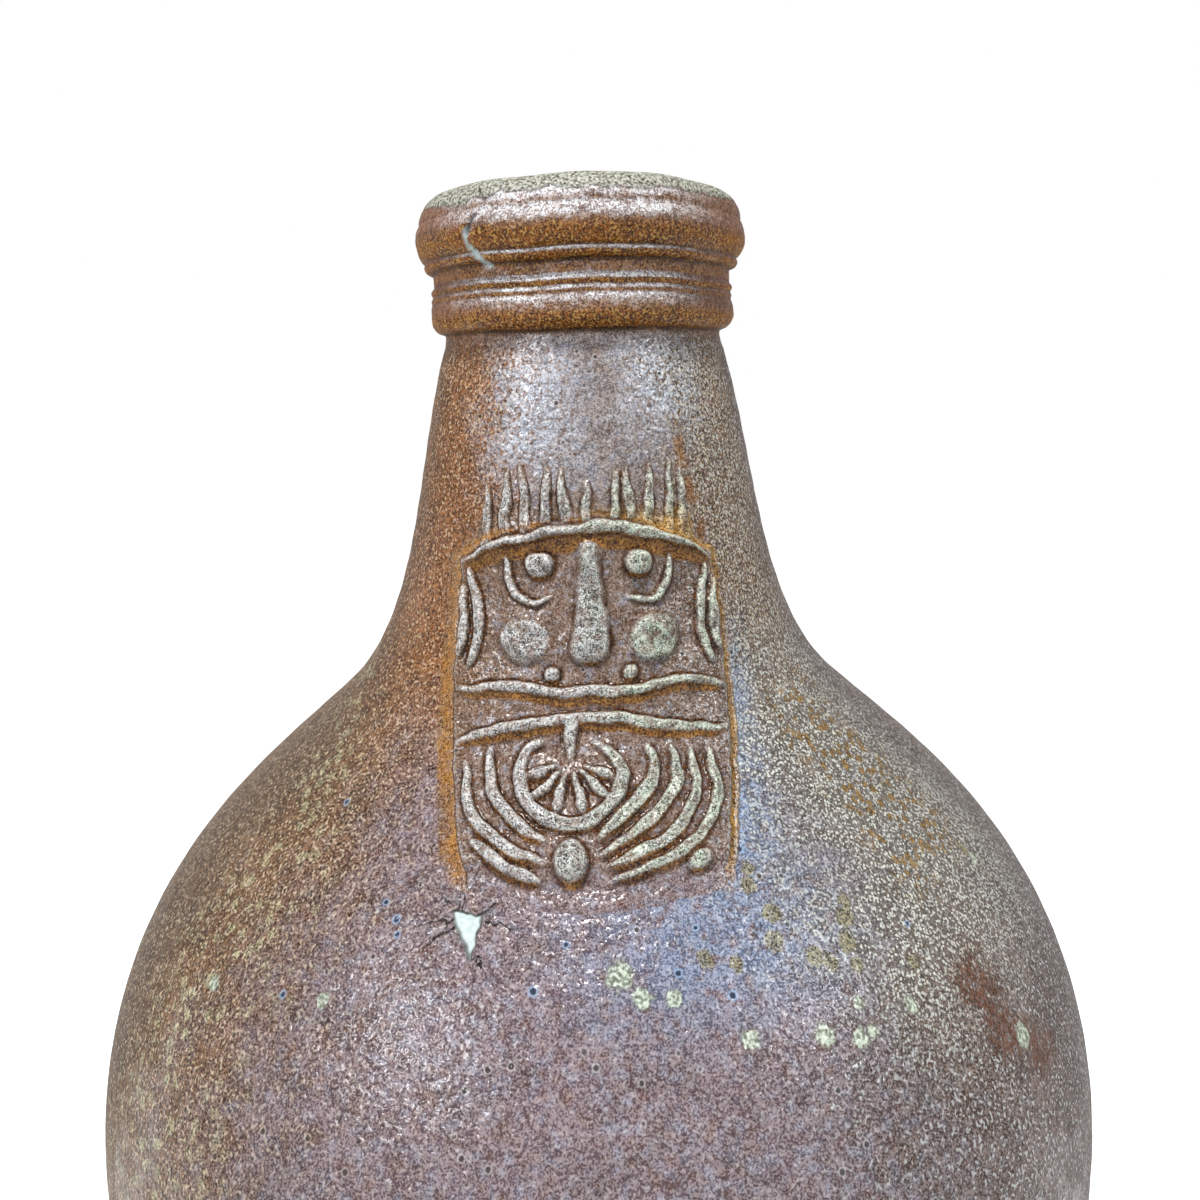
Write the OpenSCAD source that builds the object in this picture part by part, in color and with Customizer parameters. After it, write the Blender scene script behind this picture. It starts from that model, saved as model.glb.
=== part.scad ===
// Salt-glazed stoneware jug with a bearded mask on its neck.
// A thrown body, a pulled strap handle at the back and a moulded mask in front.
// Millimetres, +Z up. The foot stands on z = 0, the jug turns about Z and the mask faces -Y.

/* [Body] */
// Height from the foot to the top of the rim
jug_h = 300; // [280:1:340]
// Greatest width of the belly
belly_d = 193; // [180:1:215]
// Height of the widest part of the belly
belly_h = 132; // [115:1:145]
// Width of the neck just under the collar
neck_d = 51; // [48:0.5:54]
// Drop from the collar to the turn where the neck runs into the shoulder
neck_h = 67.5; // [60:0.5:75]
// Width at that turn
turn_d = 100; // [92:1:108]
// Width of the foot
foot_d = 91; // [86:1:100]
// Width of the pinched ankle above the foot
ankle_d = 86; // [78:1:90]
// Height of the ankle
ankle_h = 13; // [9:1:18]
// Rounding of the foot's edge
foot_edge = 2; // [1:0.5:3]
// Thickness of the thrown wall
wall = 6; // [4:0.5:7]
// Thickness of the base
base_t = 9; // [6:0.5:12]
// Rounding inside, where the wall meets the base
inner_round = 12; // [6:1:18]
// Length over which the bore of the mouth opens into the neck
bore_ease = 12; // [8:1:16]

/* [Curve of the body] */
// How far the neck leans out under the collar, in degrees
neck_lean = 18; // [12:1:22]
// How steeply the turn falls, in degrees below level
turn_fall = 42.5; // [38:0.5:48]
// How steeply the belly comes down to the ankle, in degrees below level
ankle_fall = 62; // [55:1:72]
// How far the curve keeps its direction under the collar
neck_pull = 24; // [18:1:28]
// The same, above the turn
turn_pull_up = 23.5; // [18:0.5:28]
// The same, below the turn
turn_pull_down = 28; // [22:1:34]
// The same, above the widest part
belly_pull_up = 41; // [34:1:48]
// The same, below the widest part
belly_pull_down = 50; // [40:1:60]
// The same, above the ankle
ankle_pull = 45; // [35:1:52]

/* [Collar] */
// Height of the collar
collar_h = 25; // [24.5:0.5:30]
// Width over the roll under the lip
lip_d = 60; // [59:0.5:64]
// Width of the rim above that roll
rim_d = 58.5; // [57:0.5:60]
// Height of the rim's rounding
rim_round = 5; // [3:0.5:6]
// Width of the mouth, a straight bore for a stopper
mouth_d = 40; // [36:1:42]
// Length of that bore
mouth_len = 28; // [20:1:34]
// Width in the grooves between the rolls
groove_d = 54.4; // [53:0.2:56]
// Lip roll: drop of its middle below the rim
lip_drop = 7.7; // [7:0.1:8.2]
// Lip roll: half of its height
lip_half = 4; // [3.2:0.1:4.4]
// Cordon: width
cordon_d = 57.4; // [56.4:0.2:58.6]
// Cordon: drop of its middle below the rim
cordon_drop = 12; // [11.6:0.1:12.6]
// Cordon: half of its height
cordon_half = 1.1; // [0.8:0.1:1.4]
// Fine lines: width
line_d = 55.4; // [55:0.2:56.4]
// Fine lines: drop of the upper one below the rim
line_drop = 16.4; // [15.6:0.1:16.6]
// Fine lines: distance between the two
line_gap = 1.5; // [1.4:0.1:1.7]
// Fine lines: half of their height
line_half = 0.7; // [0.5:0.1:0.7]
// Lower roll: width
roll_d = 56; // [55:0.2:58]
// Lower roll: drop of its middle below the rim
roll_drop = 21; // [20.5:0.1:21.5]
// Lower roll: half of its height
roll_half = 2.9; // [2.4:0.1:3]

/* [Handle] */
// Width of the strap
strap_w = 30; // [24:1:36]
// Thickness of the strap
strap_t = 13; // [10:1:15]
// Drop from the collar to the middle of the upper root, along the neck
upper_root = 15; // [13:0.5:20]
// Drop from the collar to the middle of the lower root, along the shoulder
lower_root = 98; // [90:1:104]
// How far the strap runs straight out of the neck
upper_reach = 46; // [38:1:52]
// How far the strap runs straight into the shoulder
lower_reach = 40; // [32:1:46]
// Height of the roots' flare
root_h = 5; // [3:0.5:7]
// How much wider the strap is at its roots
root_flare = 1.25; // [1.1:0.05:1.4]
// Layer of slip between the strap and the body
strap_slip = 0.1; // [0.1:0.05:0.3]

/* [Mask] */
// Width of the mask round the neck
mask_w = 47; // [43:0.5:50]
// Height of the mask along the neck
mask_h = 60; // [56:0.5:64]
// Drop from the collar to the top of the mask, along the neck
mask_top = 29.5; // [27:0.5:33]
// Thickness of the slab
panel_t = 1.2; // [0.8:0.1:2]
// Distance that the brow and the hair keep from the slab's top edge
edge_gap = 0.7; // [0.5:0.1:1]
// Gap that each raised piece keeps from what it sits on
seat = 0.03; // [0.02:0.01:0.05]

/* [Hair and beard] */
// Number of hair teeth
tooth_n = 11; // [7:1:12]
// Distance between hair teeth
tooth_pitch = 3.4; // [3:0.1:3.5]
// Width of a hair tooth at its root
tooth_w = 1.5; // [1:0.1:1.8]
// Height of a hair tooth
tooth_h = 0.9; // [0.6:0.1:1.4]
// Shortest hair tooth
tooth_min = 4; // [3:0.5:5]
// How much longer the hair grows towards the sides
tooth_grow = 5; // [3:0.5:7]
// How far a hair tooth leans to its side
tooth_lean = 0.8; // [0.4:0.1:0.9]
// Width of a lock of the beard
lock_w = 1.5; // [1.1:0.1:1.6]
// Width of a lock on the beard's fuller right side
full_lock_w = 2.2; // [1.6:0.1:2.3]
// Height of a lock of the beard
lock_h = 1.2; // [0.8:0.1:1.6]
// Width of a lock beside the cheek
side_lock_w = 1.3; // [0.9:0.1:1.4]
// Width of the palmette's frame
frame_w = 1.5; // [1.1:0.1:1.7]
// Width of a vein in the palmette
vein_w = 1; // [0.6:0.1:1.1]
// Number of veins in the palmette
vein_n = 6; // [4:1:7]
// Half width of the palmette
palmette_w = 8.4; // [8:0.1:8.6]
// Height of the palmette
palmette_h = 14; // [13:0.2:14.2]
// Half width of the chin bead
chin_w = 2.4; // [1.8:0.1:2.6]
// Half height of the chin bead
chin_h = 3.2; // [2.6:0.1:3.4]
// How far the chin bead stands out
chin_t = 1.7; // [1.2:0.1:2.2]
// Half width of the pad in the beard's corner
pad_w = 2.4; // [1.8:0.1:2.6]
// Half height of that pad
pad_h = 1.4; // [1:0.1:1.6]
// How far that pad stands out
pad_t = 0.9; // [0.6:0.1:1.2]

/* [Face] */
// Width of the brow ridge
brow_w = 2.2; // [1.6:0.1:2.4]
// Height of the brow ridge
brow_h = 1.9; // [1.2:0.1:2.4]
// Radius of an eye bead
eye_r = 2.3; // [1.8:0.1:2.5]
// Height of an eye bead
eye_h = 1.9; // [1.2:0.1:2.4]
// Width of the roll under an eye
lid_w = 1.4; // [1:0.1:1.6]
// Height of the roll under an eye
lid_h = 1; // [0.6:0.1:1.4]
// Width of the nose at the brow
nose_top_w = 2.6; // [2:0.1:3.2]
// Width of the nose at its tip
nose_tip_w = 6.2; // [5:0.1:6.6]
// Height of the nose
nose_h = 2.4; // [1.6:0.1:3]
// Half width of a cheek
cheek_w = 4.2; // [3.4:0.1:4.4]
// Half height of a cheek
cheek_h = 4; // [3.2:0.1:4.2]
// How far a cheek stands out
cheek_t = 1.7; // [1:0.1:2.2]
// Width of the moustache and of the lower lip
lip_w = 1.6; // [1.2:0.1:1.8]
// Height of the moustache and of the lower lip
lip_h = 1.4; // [1:0.1:1.8]
// Radius of a moustache knob
knob_r = 0.9; // [0.7:0.1:1]
// Width of the tab that hangs from the lower lip
tab_w = 2; // [1.4:0.1:2.4]
// Gap between that tab and what is above and below it
tab_gap = 0.2; // [0.1:0.05:0.4]

/* [Hidden] */
$fn = 96;

// How finely the curves are drawn
curve_steps = 24;
foot_steps = 6;
arc_step = 15;
rim_step = 10;
collar_steps = 70;
cross_steps = 4;
wide_cross_steps = 8;
spline_steps = 4;
brow_steps = 24;
nose_steps = 10;
tooth_steps = 5;
vein_steps = 4;
frame_steps = 28;
tab_steps = 5;
dome_steps = 5;
dome_sides = 20;
slab_steps = 8;
strap_sides = 28;
strap_steps = 18;
root_steps = 6;

glaze_brown = [0.45, 0.31, 0.24];
handle_brown = [0.48, 0.33, 0.22];
slab_brown = [0.50, 0.34, 0.22];
relief_tan = [0.56, 0.46, 0.34];

// Small helpers

function unit(v) = v / norm(v);
function last(list) = list[len(list) - 1];
function blend(a, b, t) = a + (b - a) * t;
function fall(length, angle) = length * [cos(angle), -sin(angle)];
function bezier(p, t) =
    pow(1 - t, 3) * p[0] + 3 * t * pow(1 - t, 2) * p[1] + 3 * t * t * (1 - t) * p[2] + pow(t, 3) * p[3];
function bezier_run(p, n) = [for (i = [0:n]) bezier(p, i / n)];
function tail(list) = [for (i = [1:1:len(list) - 1]) list[i]];
function backwards(list) = [for (i = [len(list) - 1:-1:0]) list[i]];

// A smooth line through the points, with n steps between neighbours
function spline_point(a, b, c, d, t) =
    0.5 * (2 * b + (c - a) * t + (2 * a - 5 * b + 4 * c - d) * t * t + (3 * b - a - 3 * c + d) * t * t * t);
function spline(p, n) = concat(
    [for (i = [0:len(p) - 2], j = [0:n - 1])
        spline_point(
            i > 0 ? p[i - 1] : 2 * p[0] - p[1],
            p[i],
            p[i + 1],
            i + 2 < len(p) ? p[i + 2] : 2 * p[i + 1] - p[i],
            j / n
        )],
    [last(p)]
);

// The body's outline as [radius, height], from the collar down

collar_z = jug_h - collar_h;
neck_top = [neck_d / 2, collar_z];
turn = [turn_d / 2, collar_z - neck_h];
widest = [belly_d / 2, belly_h];
ankle = [ankle_d / 2, ankle_h];
foot_top = [foot_d / 2, foot_edge];

neck_line = bezier_run(
    [neck_top, neck_top + fall(neck_pull, 90 - neck_lean), turn - fall(turn_pull_up, turn_fall), turn],
    curve_steps
);
shoulder_line = bezier_run(
    [turn, turn + fall(turn_pull_down, turn_fall), widest + [0, belly_pull_up], widest],
    curve_steps
);
belly_line = bezier_run(
    [widest, widest - [0, belly_pull_down], ankle + ankle_pull * [cos(ankle_fall), sin(ankle_fall)], ankle],
    curve_steps
);
foot_pull = 0.65 * (ankle_h - foot_edge);
foot_line = bezier_run([ankle, ankle - [0, foot_pull], foot_top + [0, foot_pull / 2], foot_top], foot_steps);
foot_round = [for (a = [arc_step:arc_step:90]) foot_top + foot_edge * [cos(a) - 1, -sin(a)]];

upper_side = concat(neck_line, tail(shoulder_line));
side = concat(upper_side, tail(belly_line));

// Each bead of the collar is [drop of its middle, half height, radius]
beads = [
    [lip_drop, lip_half, lip_d / 2],
    [cordon_drop, cordon_half, cordon_d / 2],
    [line_drop, line_half, line_d / 2],
    [line_drop + line_gap, line_half, line_d / 2],
    [roll_drop, roll_half, roll_d / 2]
];
function between_beads(drop) = drop < lip_drop ? rim_d / 2 : drop < roll_drop ? groove_d / 2 : neck_d / 2;
function on_bead(drop, bead) =
    let (off = (drop - bead[0]) / bead[1], floor = off < 0 || bead[0] < roll_drop ? groove_d / 2 : neck_d / 2)
    abs(off) < 1 ? blend(floor, bead[2], sqrt(1 - off * off)) : 0;
function collar_r(drop) = max(between_beads(drop), max([for (bead = beads) on_bead(drop, bead)]));
collar_line = [
    for (i = [collar_steps - 1:-1:1])
        let (drop = blend(rim_round, collar_h, i / collar_steps))
        [collar_r(drop), jug_h - drop]
];
rim_mid = (rim_d + mouth_d) / 4;
rim_half = (rim_d - mouth_d) / 4;
rim_line = [for (a = [0:rim_step:180]) [rim_mid + rim_half * cos(a), jug_h - rim_round * (1 - sin(a))]];

// The inside: the bore of the mouth, then the same curve one wall further in

bore_end = [mouth_d / 2, jug_h - rim_round - mouth_len];
function outward(line, i) =
    let (t = unit(line[min(i + 1, len(line) - 1)] - line[max(i - 1, 0)]))
    [-t[1], t[0]];
function grown(line, d) = [for (i = [0:len(line) - 1]) line[i] + d * outward(line, i)];
inside_line = [
    for (p = grown(side, -wall))
        if (p[1] < bore_end[1] - bore_ease && p[0] > bore_end[0] && p[1] > base_t + inner_round) p
];
inside_end = last(inside_line);
inside_round = [
    for (a = [arc_step:arc_step:90])
        [inside_end[0] - inner_round * (1 - cos(a)), blend(inside_end[1], base_t, sin(a))]
];

body_outline = concat(
    [[0, 0]],
    backwards(foot_round),
    backwards(foot_line),
    tail(backwards(side)),
    collar_line,
    rim_line,
    [bore_end],
    inside_line,
    inside_round,
    [[0, base_t]]
);

// Places on the outside of the neck and shoulder: u is the length round from the front line,
// s the length down from the collar and h the height above the surface

side_run = [
    for (
        i = 0, run = 0;
        i < len(upper_side);
        run = i + 1 < len(upper_side) ? run + norm(upper_side[i + 1] - upper_side[i]) : run, i = i + 1
    ) run
];
r_by_run = [for (i = [0:len(side_run) - 1]) [side_run[i], upper_side[i][0]]];
z_by_run = [for (i = [0:len(side_run) - 1]) [side_run[i], upper_side[i][1]]];
out_r_by_run = [for (i = [0:len(side_run) - 1]) [side_run[i], outward(upper_side, i)[0]]];
out_z_by_run = [for (i = [0:len(side_run) - 1]) [side_run[i], outward(upper_side, i)[1]]];
function out_at(s) = unit([lookup(s, out_r_by_run), lookup(s, out_z_by_run)]);
function on_front(u, s, h) =
    let (r = lookup(s, r_by_run), out = out_at(s), turned = u / r * 180 / PI, reach = r + h * out[0])
    [reach * sin(turned), -reach * cos(turned), lookup(s, z_by_run) + h * out[1]];
function on_back(u, s, h) =
    let (p = on_front(u, s, h))
    [-p[0], -p[1], p[2]];

// Places on the mask are [across, down]: -1 to 1 from side to side, 0 to 1 from brow to beard

function on_mask(p) = [p[0] * mask_w / 2, mask_top + p[1] * mask_h];
relief_lift = panel_t + seat;
brow_bow = 0.14;
chin_bow = 0.04;
slab_top_in = 0.07;
slab_foot_in = 0.21;
slab_middle = 0.5;

function slab_top(across) = brow_bow * across * across;
function slab_foot(across) = 1 - chin_bow * across * across;
function slab_side(down) =
    down < slab_middle
        ? 1 - slab_top_in * pow((slab_middle - down) / slab_middle, 2)
        : 1 - slab_foot_in * pow((down - slab_middle) / (1 - slab_middle), 2);
slab_shoulder = slab_top(slab_side(0));
slab_heel = slab_foot(slab_side(1));
slab_right = [
    for (i = [0:slab_steps])
        let (down = blend(slab_shoulder, slab_heel, i / slab_steps))
        [slab_side(down), down]
];
slab_outline = concat(
    [for (i = [1 - slab_steps:slab_steps - 1])
        let (across = slab_side(slab_shoulder) * i / slab_steps)
        [across, slab_top(across)]],
    slab_right,
    [for (i = [slab_steps - 1:-1:1 - slab_steps])
        let (across = slab_side(slab_heel) * i / slab_steps)
        [across, slab_foot(across)]],
    [for (p = backwards(slab_right)) [-p[0], p[1]]]
);
slab_view = [
    for (p = slab_outline)
        let (q = on_front(on_mask(p)[0], on_mask(p)[1], 0))
        [q[0], q[2]]
];

// Where the features lie. The beard hangs a little to the left, with more locks on the right.

brow_end = 0.9;
eye_place = [0.32, 0.13];
lid_line = [[0.56, 0.10], [0.53, 0.19], [0.41, 0.235], [0.24, 0.215]];
nose_top = 0.065;
nose_tip = 0.39;
cheek_place = [0.43, 0.335];
moustache_line = [
    [-0.94, 0.495], [-0.6, 0.462], [-0.2, 0.475], [0, 0.465], [0.2, 0.475], [0.6, 0.462], [0.94, 0.495]
];
knob_place = [0.26, 0.425];
lip_line = [[-0.93, 0.635], [-0.6, 0.578], [-0.2, 0.545], [0.2, 0.55], [0.6, 0.585], [0.93, 0.615]];
inner_side_lock = [[0.85, 0.15], [0.79, 0.24], [0.78, 0.33], [0.86, 0.43]];
outer_side_lock = [[0.92, 0.20], [0.885, 0.27], [0.89, 0.33], [0.94, 0.40]];
beard_middle = -0.15;
palmette_top = 0.592;
palmette_heart = on_mask([beard_middle, palmette_top]) + [0, palmette_h / 2];
function leaf(across, down) = palmette_heart + [across * palmette_w, down * palmette_h / 2];
hub_down = -0.45;
chin_place = [beard_middle, 0.915];
beard_lines = [
    [[-0.68, 0.635], [-0.66, 0.74], [-0.52, 0.815], [-0.30, 0.868]],
    [[-0.84, 0.680], [-0.80, 0.80], [-0.62, 0.868], [-0.31, 0.918]],
    [[-0.78, 0.875], [-0.66, 0.91], [-0.50, 0.938], [-0.33, 0.960]],
    [[0.35, 0.615], [0.37, 0.71], [0.22, 0.790], [0.00, 0.862]],
    [[0.50, 0.625], [0.53, 0.73], [0.36, 0.818], [0.01, 0.900]],
    [[0.63, 0.640], [0.67, 0.76], [0.48, 0.858], [0.03, 0.932]],
    [[0.77, 0.650], [0.80, 0.80], [0.58, 0.895], [0.07, 0.962]]
];
pad_place = [0.66, 0.935];

// Raised pieces. A loft joins closed rings of points into one solid with a point at each end.

function loft_walls(n, count) = [
    for (i = [0:count - 2], j = [0:n - 1])
        let (next = (j + 1) % n, here = i * n, there = (i + 1) * n)
        each [[here + j, here + next, there + next], [here + j, there + next, there + j]]
];
module loft(rings, first, end) {
    n = len(rings[0]);
    count = len(rings);
    start_cap = [for (j = [0:n - 1]) [count * n, (j + 1) % n, j]];
    end_cap = [for (j = [0:n - 1]) [count * n + 1, (count - 1) * n + j, (count - 1) * n + (j + 1) % n]];
    polyhedron(
        concat([for (ring = rings) each ring], [first, end]),
        concat(loft_walls(n, count), start_cap, end_cap)
    );
}

// The round-backed section of a ridge at one point of its line: a flat foot and an arched back
function ridge_section(place, along, w, h, lift, steps) =
    let (across = [along[1], -along[0]])
    concat(
        [for (j = [0:steps])
            let (a = 180 * j / steps, p = place - across * w / 2 * cos(a))
            on_front(p[0], p[1], lift + h * sin(a))],
        [for (j = [1:steps - 1])
            let (a = 180 * j / steps, p = place + across * w / 2 * cos(a))
            on_front(p[0], p[1], lift)]
    );
function along_line(line, i) = unit(line[min(i + 1, len(line) - 1)] - line[max(i - 1, 0)]);

// A ridge along a line, as wide and high as the two lists say at each of its points
module ridge(line, widths, heights, lift, steps = cross_steps) {
    n = len(line) - 1;
    rings = [
        for (i = [0:n])
            ridge_section(line[i], along_line(line, i), widths[i], heights[i], lift, steps)
    ];
    loft(
        rings,
        on_front(line[0][0], line[0][1], lift + heights[0] / 4),
        on_front(line[n][0], line[n][1], lift + heights[n] / 4)
    );
}
// How full a ridge is at a share t of its length, with ends that thin out
end_share = 0.35;
function fullness(t) = end_share + (1 - end_share) * pow(sin(180 * t), 0.6);
module tapered_ridge(line, w, h, lift) {
    n = len(line) - 1;
    ridge(line, [for (i = [0:n]) w * fullness(i / n)], [for (i = [0:n]) h * fullness(i / n)], lift);
}

// Lines for such ridges: a smooth one through places on the mask, and a straight one
function mask_line(places) = spline([for (p = places) on_mask(p)], spline_steps);
function straight(ends) = [for (i = [0:vein_steps]) blend(ends[0], ends[1], i / vein_steps)];

// A dome with an oval foot
module dome(place, half_u, half_s, h, lift) {
    function ring(size, up) = [
        for (j = [0:dome_sides - 1])
            let (a = 360 * j / dome_sides)
            on_front(place[0] + half_u * size * cos(a), place[1] + half_s * size * sin(a), lift + h * up)
    ];
    under = [for (i = [1:dome_steps - 1]) ring(i / dome_steps, 0)];
    over = [for (i = [0:dome_steps - 1]) ring(cos(90 * i / dome_steps), sin(90 * i / dome_steps))];
    loft(concat(under, over), on_front(place[0], place[1], lift), on_front(place[0], place[1], lift + h));
}

// Sub-parts

module thrown_body() {
    color(glaze_brown)
        rotate_extrude()
            polygon(body_outline);
}

// The strap's middle line lies in the plane of the axis, as [distance behind the axis, height]
upper_foot = [lookup(upper_root, r_by_run), lookup(upper_root, z_by_run)];
lower_foot = [lookup(lower_root, r_by_run), lookup(lower_root, z_by_run)];
strap_start = upper_foot + root_h * out_at(upper_root);
strap_end = lower_foot + root_h * out_at(lower_root);
strap_line = [
    strap_start,
    strap_start + upper_reach * out_at(upper_root),
    strap_end + lower_reach * out_at(lower_root),
    strap_end
];
function strap_ring(t) =
    let (
        mid = bezier(strap_line, t),
        along = unit(bezier(strap_line, min(t + 0.01, 1)) - bezier(strap_line, max(t - 0.01, 0))),
        up = [-along[1], along[0]]
    )
    [for (j = [0:strap_sides - 1])
        let (a = 360 * j / strap_sides, q = mid + up * strap_t / 2 * sin(a))
        [strap_w / 2 * cos(a), q[0], q[1]]];
function root_ring(root, sign, size, h) = [
    for (j = [0:strap_sides - 1])
        let (a = 360 * j / strap_sides)
        on_back(-size * strap_w / 2 * cos(a), root + sign * size * strap_t / 2 * sin(a), h)
];
function root_rings(root, sign) = concat(
    [for (i = [1:root_steps]) root_ring(root, sign, root_flare * i / root_steps, strap_slip)],
    [for (i = [1:2])
        root_ring(root, sign, blend(root_flare, 1, sqrt(i / 3)), blend(strap_slip, root_h, i / 3))]
);

module strap_handle() {
    color(handle_brown)
        loft(
            concat(
                root_rings(upper_root, -1),
                [for (i = [0:strap_steps]) strap_ring(i / strap_steps)],
                backwards(root_rings(lower_root, 1))
            ),
            on_back(0, upper_root, strap_slip),
            on_back(0, lower_root, strap_slip)
        );
}

// The slab lies on the neck like a skin. Its edges run straight back, as the mould let them go.
module mask_panel() {
    skin = concat(upper_side, backwards(grown(upper_side, panel_t)));
    color(slab_brown)
        intersection() {
            rotate_extrude()
                polygon(skin);
            rotate([90, 0, 0])
                linear_extrude(belly_d)
                    polygon(slab_view);
        }
}

// Teeth of hair that stand on the neck along the top edge of the slab, longer towards the sides
module hair_fringe() {
    half_n = (tooth_n - 1) / 2;
    outer_trim = 0.4;
    tip_thin = 0.7;
    scatter = 137;
    color(relief_tan)
        for (k = [0:tooth_n - 1]) {
            out = (k - half_n) / half_n;
            u = out * half_n * tooth_pitch;
            length = tooth_min + tooth_grow * abs(out) * (1 - outer_trim * pow(out, 4));
            root = on_mask([0, slab_top(u / (mask_w / 2))])[1] - edge_gap;
            tip_lean = tooth_lean * sin(scatter * k);
            shares = [for (i = [0:tooth_steps]) i / tooth_steps];
            ridge(
                [for (t = shares) [u + tip_lean * t, root - length * t]],
                [for (t = shares) tooth_w * (1 - tip_thin * t * t)],
                [for (t = shares) tooth_h * (1 - tip_thin * t * t)],
                seat
            );
        }
}

module brow_ridge() {
    line = [
        for (i = [0:brow_steps])
            let (across = brow_end * (2 * i / brow_steps - 1))
            on_mask([across, slab_top(across)]) + [0, edge_gap + brow_w / 2]
    ];
    color(relief_tan)
        tapered_ridge(line, brow_w, brow_h, relief_lift);
}

module eye_beads() {
    color(relief_tan)
        for (side = [-1, 1])
            dome(on_mask([side * eye_place[0], eye_place[1]]), eye_r, eye_r, eye_h, relief_lift);
}

module eye_lids() {
    color(relief_tan)
        for (side = [-1, 1])
            tapered_ridge(mask_line([for (p = lid_line) [side * p[0], p[1]]]), lid_w, lid_h, relief_lift);
}

// The nose widens and rises towards its tip, then drops off
module nose_bar() {
    root_share = 0.45;
    tip_share = 0.7;
    shares = [for (i = [0:nose_steps]) i / nose_steps];
    color(relief_tan)
        ridge(
            [for (t = shares) on_mask([0, blend(nose_top, nose_tip, t)])],
            [for (t = shares) t < 1 ? blend(nose_top_w, nose_tip_w, t) : nose_tip_w * tip_share],
            [for (t = shares) nose_h * (t < 1 ? blend(root_share, 1, t) : root_share)],
            relief_lift,
            wide_cross_steps
        );
}

module cheek_pads() {
    color(relief_tan)
        for (side = [-1, 1])
            dome(on_mask([side * cheek_place[0], cheek_place[1]]), cheek_w, cheek_h, cheek_t, relief_lift);
}

module moustache() {
    color(relief_tan) {
        tapered_ridge(mask_line(moustache_line), lip_w, lip_h, relief_lift);
        for (side = [-1, 1])
            dome(on_mask([side * knob_place[0], knob_place[1]]), knob_r, knob_r, lip_h, relief_lift);
    }
}

// The lip's ridge, and a pointed tab that hangs from its middle into the palmette
module lower_lip() {
    tip_share = 0.35;
    tab_top = on_mask([beard_middle, lip_line[2][1]]) + [0, lip_w / 2 + tab_gap];
    tab_tip = leaf(0, hub_down) - [0, tab_gap];
    shares = [for (i = [0:tab_steps]) i / tab_steps];
    color(relief_tan) {
        tapered_ridge(mask_line(lip_line), lip_w, lip_h, relief_lift);
        ridge(
            [for (t = shares) blend(tab_top, tab_tip, t)],
            [for (t = shares) tab_w * blend(1, tip_share, t)],
            [for (t = shares) lip_h * blend(1, tip_share, t)],
            relief_lift
        );
    }
}

module side_locks() {
    color(relief_tan)
        for (side = [-1, 1], line = [inner_side_lock, outer_side_lock])
            tapered_ridge(mask_line([for (p = line) [side * p[0], p[1]]]), side_lock_w, lock_h, relief_lift);
}

module beard_locks() {
    color(relief_tan) {
        for (line = beard_lines) {
            w = line[0][0] < beard_middle ? lock_w : full_lock_w;
            tapered_ridge(mask_line(line), w, lock_h, relief_lift);
        }
        dome(on_mask(pad_place), pad_w, pad_h, pad_t, relief_lift);
    }
}

// A leaf with a raised frame, open above and narrower below, and a fan of veins in it
module beard_palmette() {
    narrowing = 0.18;
    frame_open = 26;
    fan_half = 62;
    vein_start = 0.24;
    vein_reach = 0.74;
    frame = [
        for (i = [0:frame_steps])
            let (a = blend(frame_open, 360 - frame_open, i / frame_steps))
            leaf(sin(a) * (1 - narrowing * (1 - cos(a)) / 2), -cos(a))
    ];
    color(relief_tan) {
        tapered_ridge(frame, frame_w, lock_h, relief_lift);
        for (k = [0:vein_n - 1]) {
            a = blend(-fan_half, fan_half, k / (vein_n - 1));
            rise = hub_down * cos(a);
            vein_end = sqrt(rise * rise - hub_down * hub_down + vein_reach * vein_reach) - rise;
            tapered_ridge(
                straight([for (r = [vein_start, vein_end]) leaf(r * sin(a), hub_down + r * cos(a))]),
                vein_w,
                lock_h,
                relief_lift
            );
        }
    }
}

module chin_bead() {
    color(relief_tan)
        dome(on_mask(chin_place), chin_w, chin_h, chin_t, relief_lift);
}

thrown_body();
strap_handle();
mask_panel();
hair_fringe();
brow_ridge();
eye_beads();
eye_lids();
nose_bar();
cheek_pads();
moustache();
lower_lip();
side_locks();
beard_locks();
beard_palmette();
chin_bead();
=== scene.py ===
# Salt-glazed stoneware jug with a bearded mask on its neck and a strap handle behind.
# Metres, +Z up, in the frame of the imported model. The mask faces -Y.

import math

import bmesh
import bpy
import numpy as np
from mathutils import Matrix, Vector, noise
from mathutils.bvhtree import BVHTree


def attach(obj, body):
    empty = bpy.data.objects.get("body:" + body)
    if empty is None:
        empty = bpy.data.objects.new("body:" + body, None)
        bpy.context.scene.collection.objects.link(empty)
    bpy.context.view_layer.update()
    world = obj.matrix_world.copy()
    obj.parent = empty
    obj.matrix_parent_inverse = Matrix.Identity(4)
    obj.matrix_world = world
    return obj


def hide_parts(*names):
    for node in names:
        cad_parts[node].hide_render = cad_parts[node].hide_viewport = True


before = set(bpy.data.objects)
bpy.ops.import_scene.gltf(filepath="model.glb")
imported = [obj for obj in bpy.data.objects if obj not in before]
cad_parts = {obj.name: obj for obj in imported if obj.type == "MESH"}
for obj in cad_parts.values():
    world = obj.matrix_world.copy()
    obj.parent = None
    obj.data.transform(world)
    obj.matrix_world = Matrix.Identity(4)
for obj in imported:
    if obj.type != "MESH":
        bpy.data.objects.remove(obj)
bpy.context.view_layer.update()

# The thrown body: stoneware clay turned on a wheel in one piece, from the foot over the belly and
# the neck to the ribbed collar. Salt thrown into the kiln gives it a pebbled, mottled brown glaze.

MM = 0.001
COLLAR_FOOT = 275 * MM
COLUMNS = 236
FRONT_GATHER = 0.6


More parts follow.
